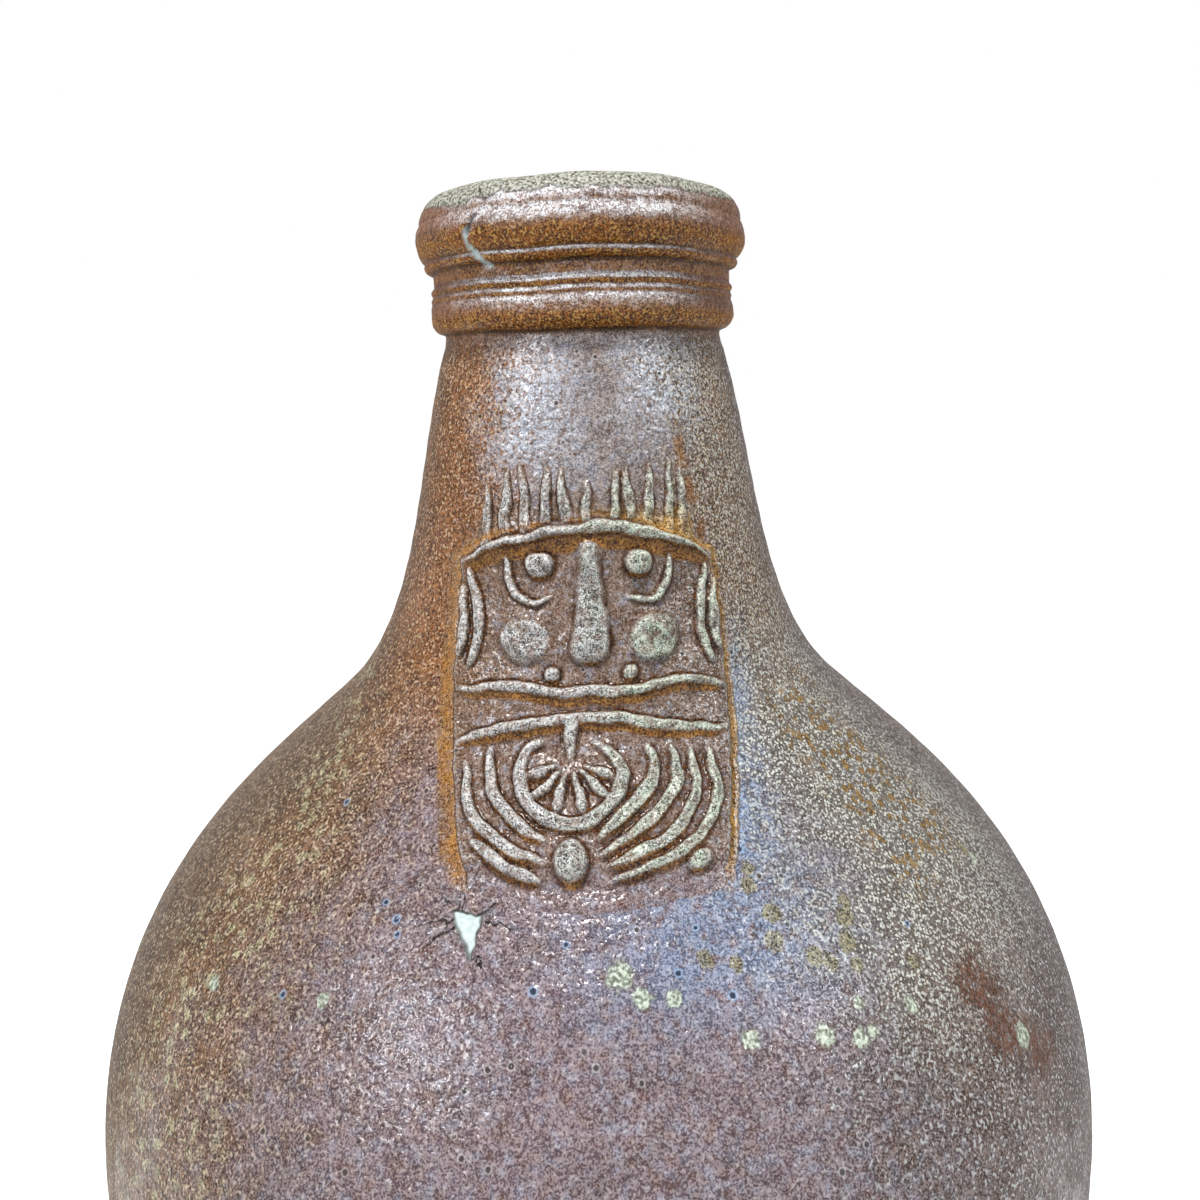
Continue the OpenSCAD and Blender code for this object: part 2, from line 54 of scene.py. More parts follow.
def turned_outline(node):
    """The [radius, height] outline of a turned node, from the middle of its base over the rim and inside."""
    keys = [tuple(round(c / 1e-6) for c in v.co) for v in node.data.vertices]
    beside = {}
    for a, b in (edge for face in node.data.polygons for edge in face.edge_keys):
        p, q = keys[a], keys[b]
        if p != q and p[1] == q[1] == 0 and min(p[0], q[0]) > 0:
            beside.setdefault(p, set()).add(q)
            beside.setdefault(q, set()).add(p)
    line = [min((p for p in beside if len(beside[p]) == 1), key=lambda p: p[2])]
    while ahead := beside[line[-1]] - set(line[-2:]):
        line.append(ahead.pop())
    points = np.array([(x, z) for x, _, z in line]) * 1e-6
    return np.vstack([(0, points[0, 1]), points, (0, points[-1, 1])])


def run_of(points):
    """The length along a line of points, at each of them."""
    return np.concatenate([[0], np.cumsum(np.linalg.norm(np.diff(points, axis=0), axis=1))])


def smooth_at(points, at, straight=8 * MM):
    """Places at these lengths on a smooth line through the points. Spans longer than straight aren't bent."""
    run = run_of(points)
    slope = np.gradient(points, run, axis=0)
    k = np.clip(np.searchsorted(run, at, side="right") - 1, 0, len(run) - 2)
    span = (run[k + 1] - run[k])[:, None]
    t = (at - run[k])[:, None] / span
    a, b = points[k], points[k + 1]
    bend = t * (1 - t) * ((1 - t) * (slope[k] * span - b + a) - t * (slope[k + 1] * span - b + a))
    return a + (b - a) * t + np.where(span < straight, bend, 0)


outline = turned_outline(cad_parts["thrown_body"])
outline_run = run_of(outline)
rim_run = outline_run[np.argmax(outline[:, 1])]

INSIDE_GAP, COLLAR_GAP, NECK_GAP, FOOT_GAP, BELLY_GAP = (gap * MM for gap in (5, 0.34, 1.4, 1.2, 3.2))
LIP_INSIDE = 9 * MM
SHOULDER_FOOT = 160 * MM
FOOT_TOP = 16 * MM


def ring_gap(at):
    """How far apart the rings of the mesh lie: close on the collar, wide where little shows."""
    height = np.interp(at, outline_run, outline[:, 1])
    if at > rim_run + LIP_INSIDE:
        return INSIDE_GAP
    if height > COLLAR_FOOT - MM:
        return COLLAR_GAP
    if height > SHOULDER_FOOT:
        return NECK_GAP
    return FOOT_GAP if 0 < height < FOOT_TOP else BELLY_GAP


ring_runs = [0]
while ring_runs[-1] < outline_run[-1]:
    ring_runs.append(ring_runs[-1] + ring_gap(ring_runs[-1]))
ring_runs[-1] = outline_run[-1]
rings = smooth_at(outline, np.array(ring_runs))


class Wire:
    """An output of a node, with arithmetic that adds Math nodes to its tree."""

    def __init__(self, tree, socket):
        self.tree = tree
        self.socket = socket

    def __add__(self, other):
        return self.tree.math("ADD", self, other)

    def __sub__(self, other):
        return self.tree.math("SUBTRACT", self, other)

    def __rsub__(self, other):
        return self.tree.math("SUBTRACT", other, self)

    def __mul__(self, other):
        return self.tree.math("MULTIPLY", self, other)

    def __truediv__(self, other):
        return self.tree.math("DIVIDE", self, other)

    def __rtruediv__(self, other):
        return self.tree.math("DIVIDE", other, self)

    def __neg__(self):
        return self.tree.math("MULTIPLY", self, -1)

    def __abs__(self):
        return self.tree.math("ABSOLUTE", self)

    __radd__ = __add__
    __rmul__ = __mul__

    def other(self, output):
        return Wire(self.tree, self.socket.node.outputs[output])


class Tree:
    """A node tree under way. A node's settings are set first, then the values or links of its sockets."""

    def __init__(self, tree):
        self.tree = tree

    def node(self, kind, settings=None, sockets=None, out=0):
        made = self.tree.nodes.new(kind)
        for name, value in (settings or {}).items():
            setattr(made, name, value)
        for name, value in (sockets or {}).items():
            if isinstance(value, Wire):
                self.tree.links.new(value.socket, made.inputs[name])
            else:
                made.inputs[name].default_value = value
        return Wire(self, made.outputs[out]) if len(made.outputs) else made

    def math(self, operation, *values):
        return self.node("ShaderNodeMath", {"operation": operation}, dict(enumerate(values)))


def new_tree(name, inputs):
    """A Geometry Nodes tree with a geometry going in and out, and named inputs for its sizes."""
    group = bpy.data.node_groups.new(name, "GeometryNodeTree")
    group.interface.new_socket("Geometry", in_out="INPUT", socket_type="NodeSocketGeometry")
    group.interface.new_socket("Geometry", in_out="OUTPUT", socket_type="NodeSocketGeometry")
    for label, kind in inputs.items():
        group.interface.new_socket(label, in_out="INPUT", socket_type=kind)
    return Tree(group)


def glazed_end(tree, given, shape):
    """Ends a tree in one smooth and plain mesh with its glaze on."""
    soft = tree.node("GeometryNodeSetShadeSmooth", sockets={"Geometry": shape})
    whole = tree.node("GeometryNodeRealizeInstances", sockets={"Geometry": soft})
    glaze = given.other("Glaze")
    glazed = tree.node("GeometryNodeSetMaterial", sockets={"Geometry": whole, "Material": glaze})
    tree.node("NodeGroupOutput", sockets={0: glazed})


def line_mesh(name, points):
    """A mesh of one open line through the points."""
    mesh = bpy.data.meshes.new(name)
    mesh.from_pydata(points, [(i, i + 1) for i in range(len(points) - 1)], [])
    return mesh


def placed(name, data):
    """A new object in the scene, at the origin."""
    made = bpy.data.objects.new(name, data)
    bpy.context.scene.collection.objects.link(made)
    return made


def grown_mesh(name, start, tree, values):
    """Runs a tree on a start mesh, with its inputs set, and gives the result as a plain mesh."""
    piece = placed(name, start)
    modifier = piece.modifiers.new(name, "NODES")
    modifier.node_group = tree.tree
    for item in tree.tree.interface.items_tree:
        if item.in_out == "INPUT" and item.name in values:
            modifier[item.identifier] = values[item.name]
    evaluated = piece.evaluated_get(bpy.context.evaluated_depsgraph_get())
    mesh = bpy.data.meshes.new_from_object(evaluated)
    bpy.data.objects.remove(piece)
    while None in mesh.materials[:]:
        mesh.materials.pop(index=mesh.materials[:].index(None))
    return mesh


def wheel_tree():
    """Turns an outline about the axis. The columns gather towards the front, where the mask sits."""
    sizes = {"Columns": "NodeSocketInt", "Gather": "NodeSocketFloat", "Glaze": "NodeSocketMaterial"}
    tree = new_tree("turn_on_the_wheel", sizes)
    given = tree.node("NodeGroupInput", out="Geometry")
    count = tree.node("GeometryNodeAttributeDomainSize", sockets={"Geometry": given}, out="Point Count")
    columns = given.other("Columns")
    grid = tree.node(
        "GeometryNodeMeshGrid",
        sockets={"Size X": 1, "Size Y": 1, "Vertices X": columns + 1, "Vertices Y": count},
    )
    place = tree.node("GeometryNodeInputPosition")
    share = tree.node("ShaderNodeSeparateXYZ", sockets={0: place})
    ring = tree.math("ROUND", (share.other("Y") + 0.5) * (count - 1))
    outline_place = tree.node(
        "GeometryNodeSampleIndex",
        {"data_type": "FLOAT_VECTOR"},
        {"Geometry": given, "Value": place, "Index": ring},
    )
    radius = tree.node("ShaderNodeSeparateXYZ", sockets={0: outline_place})
    full = (share + 0.5) * math.tau
    turn = full - tree.math("SINE", full) * given.other("Gather")
    across = radius * tree.math("SINE", turn)
    back = radius * tree.math("COSINE", turn) * -1
    turned = tree.node("ShaderNodeCombineXYZ", sockets={0: across, 1: back, 2: radius.other("Z")})
    wall = tree.node("GeometryNodeSetPosition", sockets={"Geometry": grid, "Position": turned})
    closed = tree.node("GeometryNodeMergeByDistance", sockets={"Geometry": wall, "Distance": 0.005 * MM})
    glazed_end(tree, given, closed)
    return tree


def unevenness(turn, height):
    """How far the wall stands out of true: slow swings round the jug, and faint finger rings up it."""
    swings = [(2, 11, 0.28, 0.4), (3, -23, 0.14, 1.9), (5, 37, 0.07, 4.0)]
    slow = sum(size * np.sin(waves * turn + lean * height + start) for waves, lean, size, start in swings)
    fingers = 0.04 * np.sin(math.tau * height / (6.2 * MM) + turn)
    return (slow + fingers) * MM


# The outside below the collar down to the widest part, by the length down from the collar

outside = np.array(ring_runs) < rim_run
side = rings[outside & (rings[:, 1] < COLLAR_FOOT)][::-1]
side = side[: np.argmax(side[:, 0]) + 1]
side_run = run_of(side)
side_slope = np.gradient(side, side_run, axis=0)
side_out = np.stack([-side_slope[:, 1], side_slope[:, 0]], axis=1)
side_out /= np.linalg.norm(side_out, axis=1)[:, None]


def side_at(run):
    """The radius and height of the outside, this far down from the collar, and the way out of it."""
    return [np.interp(run, side_run, line[:, k]) for line in (side, side_out) for k in (0, 1)]


def on_body(turn, run, lift):
    """A place on the outside, by its turn from the front, run down from the collar and lift off it."""
    radius, height, out, up = side_at(run)
    reach = radius + unevenness(turn, height) + lift * out
    return np.stack([reach * np.sin(turn), -reach * np.cos(turn), height + lift * up], axis=-1)


def run_at(height):
    """How far down from the collar the outside reaches this height."""
    return np.interp(-height, -side[:, 1], side_run)


def mesh_points(mesh):
    points = np.empty(len(mesh.vertices) * 3, np.float32)
    mesh.vertices.foreach_get("co", points)
    return points.reshape(-1, 3).astype(float)


def turn_and_radius(points):
    """The turn of points from the front, and how far from the axis they are."""
    return np.arctan2(points[:, 0], -points[:, 1]), np.hypot(points[:, 0], points[:, 1])


def set_points(mesh, points):
    mesh.vertices.foreach_set("co", points.astype(np.float32).ravel())
    mesh.update()


def set_layer(mesh, name, values):
    layer = mesh.attributes.new(name, "FLOAT", "POINT")
    layer.data.foreach_set("value", np.asarray(values, np.float32).ravel())


def fade(value, start, end):
    """A smooth step from 0 at start to 1 at end."""
    t = np.clip((value - start) / (end - start), 0, 1)
    return t * t * (3 - 2 * t)


def line_distance(across, up, line):
    """The distance in a plane from each place to a line of points."""
    best = np.full(across.shape, 1e9)
    for (ax, ay), (bx, by) in zip(line[:-1], line[1:]):
        wx, wy = bx - ax, by - ay
        t = np.clip(((across - ax) * wx + (up - ay) * wy) / (wx * wx + wy * wy), 0, 1)
        best = np.minimum(best, np.hypot(across - ax - t * wx, up - ay - t * wy))
    return best


def within(across, up, corners):
    """-1 inside the outline that the corners give, and 1 outside it."""
    sign = np.ones(across.shape)
    for (ax, ay), (bx, by) in zip(corners, corners[1:] + corners[:1]):
        crossing = ((ay > up) != (by > up)) & (across < (bx - ax) * (up - ay) / (by - ay + 1e-12) + ax)
        sign = np.where(crossing, -sign, sign)
    return sign


def jitter(points, size, chosen):
    """Smooth noise of this size at the chosen points, and nothing at the others."""
    values = np.zeros(len(points))
    values[chosen] = [noise.noise(Vector(p) / size) for p in points[chosen]]
    return values


def tone(code):
    """A colour of six hex digits as the linear values that sockets take."""
    shares = [int(code[i : i + 2], 16) / 255 for i in (0, 2, 4)]
    return tuple(c / 12.92 if c <= 0.04045 else ((c + 0.055) / 1.055) ** 2.4 for c in shares) + (1.0,)


class Finish(Tree):
    """A material under way: the place on the jug in millimetres, the colour so far and a glaze's patterns."""

    def __init__(self, name):
        self.material = bpy.data.materials.new(name)
        self.material.use_nodes = True
        super().__init__(self.material.node_tree)
        self.tree.nodes.clear()
        place = self.node("ShaderNodeTexCoord", out="Object")
        self.place = self.node("ShaderNodeVectorMath", {"operation": "SCALE"}, {0: place, "Scale": 1000})
        self.x = self.node("ShaderNodeSeparateXYZ", sockets={0: self.place})
        self.y = self.x.other("Y")
        self.z = self.x.other("Z")
        self.reach = self.math("SQRT", self.x * self.x + self.y * self.y)
        self.colour = None

    def noise(self, size, detail):
        sockets = {"Vector": self.place, "Scale": 1 / size, "Detail": detail}
        return self.node("ShaderNodeTexNoise", sockets=sockets)

    def cells(self, size):
        return self.node("ShaderNodeTexVoronoi", sockets={"Vector": self.place, "Scale": 1 / size})

    def chance(self, cells):
        """A number from 0 to 1 for each cell."""
        return self.node("ShaderNodeSeparateColor", sockets={0: cells.other("Color")}, out="Red")

    def band(self, value, low, high):
        sockets = {"Value": value, "From Min": low, "From Max": high}
        return self.node("ShaderNodeMapRange", {"interpolation_type": "SMOOTHSTEP"}, sockets)

    def mix(self, share, low, high):
        """A share of one colour over another. A colour is a wire or six hex digits."""
        low, high = (tone(colour) if isinstance(colour, str) else colour for colour in (low, high))
        return self.node("ShaderNodeMix", {"data_type": "RGBA"}, {0: share, 6: low, 7: high}, out=2)

    def lay(self, share, colour):
        """Lays a share of a colour over the colour so far."""
        self.colour = self.mix(share, self.colour, colour)

    def layer(self, name):
        return self.node("ShaderNodeAttribute", {"attribute_name": name}, out="Fac")

    def near(self, point, size, warp):
        """1 within this size of a point, in millimetres, with an edge that the warp makes uneven."""
        ends = {0: self.place, 1: point}
        far = self.node("ShaderNodeVectorMath", {"operation": "DISTANCE"}, ends, out="Value")
        return self.band(far + warp, size * 1.15, size * 0.75)

    def facing(self):
        """How far the surface faces up, from -1 to 1."""
        normal = self.node("ShaderNodeNewGeometry", out="Normal")
        return self.node("ShaderNodeSeparateXYZ", sockets={0: normal}, out="Z")

    def seal(self, rough, height, depth):
        """Ends in one glossy surface whose bumps are this deep, in millimetres."""
        sockets = {"Strength": 1.0, "Distance": depth * MM, "Height": height}
        bump = self.node("ShaderNodeBump", sockets=sockets)
        sockets = {"Base Color": self.colour, "Roughness": rough, "Normal": bump, "Specular IOR Level": 0.2}
        surface = self.node("ShaderNodeBsdfPrincipled", sockets=sockets)
        self.node("ShaderNodeOutputMaterial", sockets={"Surface": surface})
        return self.material


# The size of the glaze's grain and the depth of its bumps on the body, in millimetres

BODY_GRAIN = 0.7
BODY_BUMPS = 0.26


def kiln_tones(f):
    """Lays the broad tones of the glaze round the jug, and gives the bearing and turn that they follow."""
    ahead = -f.y / f.reach
    mottle = f.noise(3.2, 3) - 0.5
    bearing = f.math("ARCTAN2", f.x, -f.y) * (180 / math.pi) + mottle * 9
    turn = bearing + (f.noise(17, 3) - 0.5) * 32 + mottle * 16
    height = f.z + (f.noise(11, 3) - 0.5) * 20 + mottle * 9
    back = f.band(ahead, 0.3, -0.35)

    belly = f.mix(f.band(height, 168, 90), "78646c", "6f4d3c")
    belly = f.mix(f.band(turn, -24, -54), belly, "704414")
    belly = f.mix(f.band(turn, -48, -66), belly, "4c2800")
    belly = f.mix(f.band(turn, 12, 50), belly, "4e402e")
    belly = f.mix(f.band(turn, 18, 46) * f.band(height, 194, 178), belly, "5c3822")
    belly = f.mix(f.band(turn, 46, 66), belly, "46280a")
    neck = f.mix(f.band(turn, -2, -44), "8a7b76", "8e4e02")
    neck = f.mix(f.band(turn, -44, -72), neck, "5e2e00")
    neck = f.mix(f.band(turn, 0, 46), neck, "765222")
    neck = f.mix(f.band(turn, 52, 84), neck, "562c04")
    f.colour = f.mix(f.band(height, 200, 230), belly, neck)
    patches = f.mix(f.band(f.noise(26, 4), 0.4, 0.6), "664029", "7d5a3e")
    f.lay(back, patches)
    stain = f.band(f.noise(5, 4), 0.56, 0.34) * 0.3
    f.lay(stain, "2e1a0e")
    return bearing, turn


def grained(f, turn, size):
    """Breaks the colour up by the fine grain of salt glaze, and gives its roughness, bumps and grain."""
    peel = f.noise(size, 0)
    fine = f.noise(size * 0.4, 1)
    grain = f.band(fine + (peel - 0.5) * 0.25 + (f.noise(size * 4, 3) - 0.5) * 0.3, 0.34, 0.66)
    cloud = f.noise(size * 2.4, 4)
    aside = f.band(abs(turn + 2), 12, 46)
    f.lay(f.band(cloud, 0.5, 0.7) * (0.5 - aside * 0.38), "8d93a8")
    f.lay(f.band(cloud, 0.48, 0.3) * 0.4, "70431f")
    before = f.band(abs(turn), 150, 100)
    salt_and_glint = f.mix(f.band(turn, -10, 30) * before, "e8e2e0", "e6ecee")
    warm = f.mix(f.band(f.z, 205, 225), "dcccb0", "e2c8a6")
    salt_and_glint = f.mix(f.band(turn, -12, -40) * before, salt_and_glint, warm)
    dark = f.mix(aside * 0.16 + 0.54, f.colour, "160b05")
    f.colour = f.mix(grain, dark, f.mix(0.14, f.colour, salt_and_glint))
    # Painted glints: sparse pale specks of the salt colour that stand in for the glaze's sparkle
    painted_glints = f.band(f.noise(size * 0.75, 0), 0.6, 0.7) * (aside * 0.34 + 0.14)
    f.lay(painted_glints, salt_and_glint)
    specks = f.band(f.noise(size * 0.62, 0), 0.42, 0.3) * (aside * 0.6 + 0.25)
    f.lay(specks, "1e0f07")
    pits = f.cells(size * 5)
    kept = f.band(f.chance(pits), 0.4, 0.42)
    f.lay(f.band(pits, 0.19, 0.14) * kept * 0.2, salt_and_glint)
    f.lay(f.band(pits, 0.14, 0.08) * kept * 0.85, "1c1414")
    rough = f.band(fine, 0.3, 0.7) * 0.1 + f.band(abs(turn), 34, 62) * 0.45 + 0.12
    return rough, f.noise(size * 1.5, 1) + fine * 0.1, grain


# Marks of the kiln on the front: [turn from the front line in degrees, height in mm, radius in mm]

olive_patches = [
    (12.3, 190.5, 1.3), (15.8, 189.5, 1.1), (20.6, 196.1, 1.4), (21.5, 197.5, 1.1), (22.2, 193.2, 1.6),
    (21.1, 190.6, 1.6), (25.4, 188.2, 1.5), (31.7, 190.4, 1.6), (30.2, 188.3, 1.6), (26.9, 187.3, 1.4),
    (30.0, 186.1, 1.2), (37.6, 183.7, 1.2), (32.9, 191.7, 1.1), (61, 187, 1.2),
]
pale_drops = [
    (2.3, 189.9, 1.8), (4.5, 187.8, 1.3), (8.0, 187.5, 1.1), (15.1, 182.9, 1.2), (22.9, 181.4, 1.4),
    (26.6, 179.9, 1.3), (28.3, 180.2, 0.9), (28.2, 182.8, 0.8), (34.2, 180.5, 1.1), (47.8, 169.2, 1.8),
    (61.5, 185.4, 1.1), (-30.6, 184.1, 1.0), (-47.0, 179.4, 1.1),
]
blue_pits = [
    (28.8, 209.8, 0.42), (25.0, 206.5, 0.4), (21.2, 199.6, 0.5), (-44.8, 201.6, 0.4), (-28.0, 194.3, 0.35),
    (-25.6, 193.1, 0.45), (-24.7, 191.8, 0.35), (14.3, 186.9, 0.45), (12.0, 193.3, 0.35), (8.9, 189.6, 0.4),
    (-3.8, 192.7, 0.35), (-7.1, 188.6, 0.45), (-36, 183, 0.4), (40, 187, 0.35),
]
edge_crack = [
    (-31.6, 207.9, 0.22), (-30.9, 208.1, 0.26), (-30.2, 208.3, 0.3),
    (-29.5, 208.7, 0.34), (-28.8, 209.0, 0.36),
]


def spot_layer(f, spots, warp, grow=1.0):
    share = 0.0
    for turn, height, size in spots:
        point = tuple(on_body(math.radians(turn), run_at(height * MM), 0) / MM)
        share = f.math("MAXIMUM", share, f.near(point, size * grow, warp))
    return share


def body_glaze():
    f = Finish("body_glaze")
    bearing, turn = kiln_tones(f)
    # Under the grain: a painted sky reflection by the mask, a painted highlight on the neck, olive spots on
    # the left
    blotch = f.noise(1.5, 2)
    # A painted reflection of the sky by the mask, partly the glaze's own blue-grey tint
    sky = f.band(abs(bearing - 27 + (215 - f.z) * 0.6), 16, 4) * f.band(abs(f.z - 209), 24, 8)
    sky = f.math("MAXIMUM", sky, f.band(abs(bearing - 15), 26, 4) * f.band(abs(f.z - 193), 13, 2) * 0.7)
    f.lay(sky * f.band(f.noise(1.9, 3), 0.28, 0.54) * 0.92, "7690b6")
    # A painted highlight: a silver sheen on the upper neck, left and right of the middle
    drift = f.noise(7, 3) - 0.5
    painted_sheen = f.band(abs(bearing + 19 + drift * 24), 30, 2) * f.band(abs(f.z - 263 + drift * 14), 19, 2)
    painted_right_sheen = f.band(abs(bearing - 27 + drift * 24), 26, 2) * f.band(abs(f.z - 267 + drift * 12), 14, 2)
    painted_sheen = f.math("MAXIMUM", painted_sheen, painted_right_sheen) * f.band(f.noise(0.8, 3), 0.34, 0.58)
    f.lay(painted_sheen * 0.85, "ccd4e2")
    strip = f.math("MAXIMUM", f.z - 185, 0.0)
    strip = f.band(abs(bearing + 48 + strip * strip * 0.028), 19, 0)
    olives = f.cells(2.3)
    moss = f.band(olives + (blotch - 0.5) * 0.9, 0.5, 0.34) * f.band(f.chance(olives), 0.5, 0.52)
    f.lay(strip * moss * 0.75, "b2ae88")

    # Over the grain: pale flecks, rust spots and a brown run on the right, then the drops and pits
    rough, bumps, grain = grained(f, turn, BODY_GRAIN)
    dots = f.cells(0.54)
    flecks = f.band(dots + (f.noise(0.4, 1) - 0.5) * 1.1, 0.46, 0.3) * f.band(f.chance(dots), 0.3, 0.32)
    stone = f.band(abs(turn - 50), 30, 12) * f.band(abs(f.z - 200), 34, 14)
    f.lay(stone * 0.25, "77756e")
    f.lay(stone * flecks * 0.78, "d4d6cc")
    beside = f.band(abs(turn - 46), 30, 10) * f.band(abs(f.z - 248), 30, 18)
    f.lay(beside * flecks * 0.6, "d4cdb6")
    rust = f.band(abs(bearing - 53), 14, 6) * f.band(abs(f.z - 202), 18, 9)
    speck = f.cells(1.6)
    spots = f.band(speck + (blotch - 0.5) * 0.6, 0.54, 0.4) * f.band(f.chance(speck), 0.36, 0.38) * rust
    f.lay(spots * 0.85, f.mix(grain, "38260a", "94702a"))
    runs = f.band(abs(bearing - 45 - f.band(f.z, 174, 164) * 5), 4.5, 1.5) * f.band(abs(f.z - 172), 11, 7)
    f.lay(runs * f.band(blotch, 0.34, 0.5) * 0.85, f.mix(grain, "2c1608", "66381c"))
    warp = (f.noise(0.9, 3) - 0.5) * 1.8
    olive = f.mix(grain, "38301f", "97916f")
    f.lay(spot_layer(f, olive_patches, warp) * 0.75, olive)
    drops = f.mix(f.band(f.noise(0.55, 2), 0.36, 0.64), "6a7260", "d2dece")
    f.lay(spot_layer(f, pale_drops, warp * 1.1, 1.25) * 0.4, "55503f")
    f.lay(spot_layer(f, pale_drops, warp * 1.1) * 0.75, drops)
    f.lay(spot_layer(f, blue_pits, warp * 0.3, 1.7) * 0.5, "8ca8c8")
    f.lay(spot_layer(f, blue_pits, warp * 0.3) * 0.9, "1b2030")

    # The collar is golden below its ribs, darker there as painted shade, with a painted highlight on top of
    # them; the marks on the mesh come last
    collar = f.band(f.z, 273, 277)
    aside = f.band(abs(bearing), 18, 66)
    clay = f.mix(aside, "86624e", "6c3008")
    clay = f.mix(grain, f.mix(0.6, clay, "160b05"), f.mix(0.2, clay, "e0c8b0"))
    f.lay(collar * 0.85, clay)
    # Golden glaze pools under the ribs and is painted darker there as shade, with painted glints; the tops of
    # the ribs at the front get a painted highlight
    facing = f.facing()
    painted_glints = f.band(f.noise(0.4, 1), 0.52, 0.66)
    gold_pool_and_shade = f.mix(painted_glints * 0.75, f.mix(grain, "341400", "98580a"), "d8aa5c")
    f.lay(f.band(facing, 0.2, -0.3) * collar * 0.95, gold_pool_and_shade)
    painted_top_highlight = f.mix(grain, "857672", "e6e9ee")
    painted_top_share = f.band(facing, -0.05, 0.35) * collar * f.band(abs(bearing + 4), 58, 20)
    painted_top_share = painted_top_share * (f.band(f.noise(1.6, 3), 0.32, 0.56) * 0.6 + 0.4)
    f.lay(painted_top_share, painted_top_highlight)
    f.lay(f.layer("honey"), f.mix(grain, "5a3008", "9c6a2e"))
    # Dark glaze in the collar's creases and along the rim line, deepened as painted shade
    f.lay(f.layer("hollow_glaze_and_shade") * 0.9, "1d0e08")
    grit = f.band(f.noise(0.45, 2), 0.32, 0.66)
    f.lay(f.layer("worn"), f.mix(grit, "3c3426", "b2b4a8"))
    bare = f.layer("bare")
    f.lay(bare, f.mix(f.noise(1.0, 3), "85999a", "dfe9e8"))
    cracks = f.math("MAXIMUM", f.layer("crack"), spot_layer(f, edge_crack, warp * 0.1))
    f.lay(cracks, "1b120f")
    rough = rough + bare * 0.4 + f.layer("worn") * 0.3
    return f.seal(rough, bumps, BODY_BUMPS)


jug_mesh = grown_mesh(
    "thrown_body",
    line_mesh("outline", [(r, 0, z) for r, z in rings]),
    wheel_tree(),
    {"Columns": COLUMNS, "Gather": FRONT_GATHER, "Glaze": body_glaze()},
)
body = placed("thrown_body_glazed", jug_mesh)

# A flake of glaze has come off below the mask, and cracks run out from it

FLAKE_TURN = math.radians(-16)
FLAKE_HEIGHT = 193.5 * MM
FLAKE_ZONE, FLAKE_REACH = 11, 4
FLAKE_OUTLINE = [(-2.7, 2.2), (1.4, 1.9), (1.8, -2.4), (1.3, -3.8), (-0.7, -1.3)]
FLAKE_CRACKS = [
    [(-1, 2), (-3.2, 3.4), (-5.6, 3.6)],
    [(-2, 1), (-5, 0.6), (-8.2, -0.6)],
    [(-2, 0), (-4.2, -1.4), (-5.6, -3.0)],
    [(-1, 2), (-1.4, 4.2), (-2.4, 5.6)],
    [(1, 2), (2.8, 3.4), (3.2, 5.4)],
    [(2, 1), (4.6, 1.4), (7.6, 0.8)],
    [(2, -3), (2.6, -5.6), (3.2, -8.6)],
    [(2, -3), (4.4, -5.2), (6.2, -6.4)],
]


def flake_places(points):
    """Places of points across and up from the flake's middle, in millimetres, and which lie in its zone."""
    middle = on_body(FLAKE_TURN, run_at(FLAKE_HEIGHT), 0)
    out = on_body(FLAKE_TURN, run_at(FLAKE_HEIGHT), MM) - middle
    out /= np.linalg.norm(out)
    along = np.array([math.cos(FLAKE_TURN), math.sin(FLAKE_TURN), 0])
    across, up, off = ((points - middle) @ way / MM for way in (along, np.cross(out, along), out))
    return across, up, (np.hypot(across, up) < FLAKE_ZONE) & (np.abs(off) < FLAKE_REACH)


in_zone = flake_places(mesh_points(jug_mesh))[2]
cut = bmesh.new()
cut.from_mesh(jug_mesh)
zone_faces = [face for face in cut.faces if all(in_zone[v.index] for v in face.verts)]
zone_edges = list({edge for face in zone_faces for edge in face.edges})
bmesh.ops.subdivide_edges(cut, edges=zone_edges, cuts=5, use_grid_fill=True)
cut.to_mesh(jug_mesh)
cut.free()

points = mesh_points(jug_mesh)
across, up, near_flake = flake_places(points)
ragged = jitter(points, 1.2 * MM, near_flake)
flake_far = line_distance(across, up, FLAKE_OUTLINE + FLAKE_OUTLINE[:1]) * within(across, up, FLAKE_OUTLINE)
flake_far += ragged * 0.5
flaked = near_flake * fade(flake_far, 0.12, -0.12)
strayed = across + ragged * 0.7, up + ragged * 0.7
veins = np.min([line_distance(*strayed, line) for line in FLAKE_CRACKS], axis=0)
cracked = near_flake * fade(veins, 0.26, 0.1) * fade(np.hypot(across, up), 10, 5) * (1 - flaked)
flake_edge = near_flake * fade(np.abs(flake_far), 0.35, 0.12)

# The collar wavers, its creases hold dark glaze deepened by painted shade, its rim is worn, and a sliver is
# chipped off its left side

SLIVER = [(-37.5, 292.2), (-39.5, 290.5), (-37.9, 288.9), (-35.5, 287.6), (-33.2, 286.5)]
SCAR = [(-34.7, 294.1), (-36.4, 293.0), (-37.8, 291.8)]
COLLAR_DEGREE = 0.51
turn, radius = turn_and_radius(points)
height = points[:, 2]
on_collar = (height > COLLAR_FOOT - 3 * MM) & (radius > 23 * MM)
collar_share = fade(height, COLLAR_FOOT - 2 * MM, COLLAR_FOOT + 4 * MM)
collar_rings = rings[outside & (rings[:, 1] > COLLAR_FOOT - 6 * MM)]
levels = np.arange(COLLAR_FOOT - 6 * MM, 300 * MM, 0.1 * MM)
collar_radius = np.interp(levels, collar_rings[:, 1], collar_rings[:, 0])
window = np.hanning(25)
blurred = np.convolve(np.pad(collar_radius, 12, mode="edge"), window / window.sum(), mode="valid")
crease = np.clip((blurred - collar_radius) / (0.35 * MM), 0, 1) * fade(levels, 298 * MM, 296 * MM)
ragged_wide = jitter(points, 2.6 * MM, on_collar)
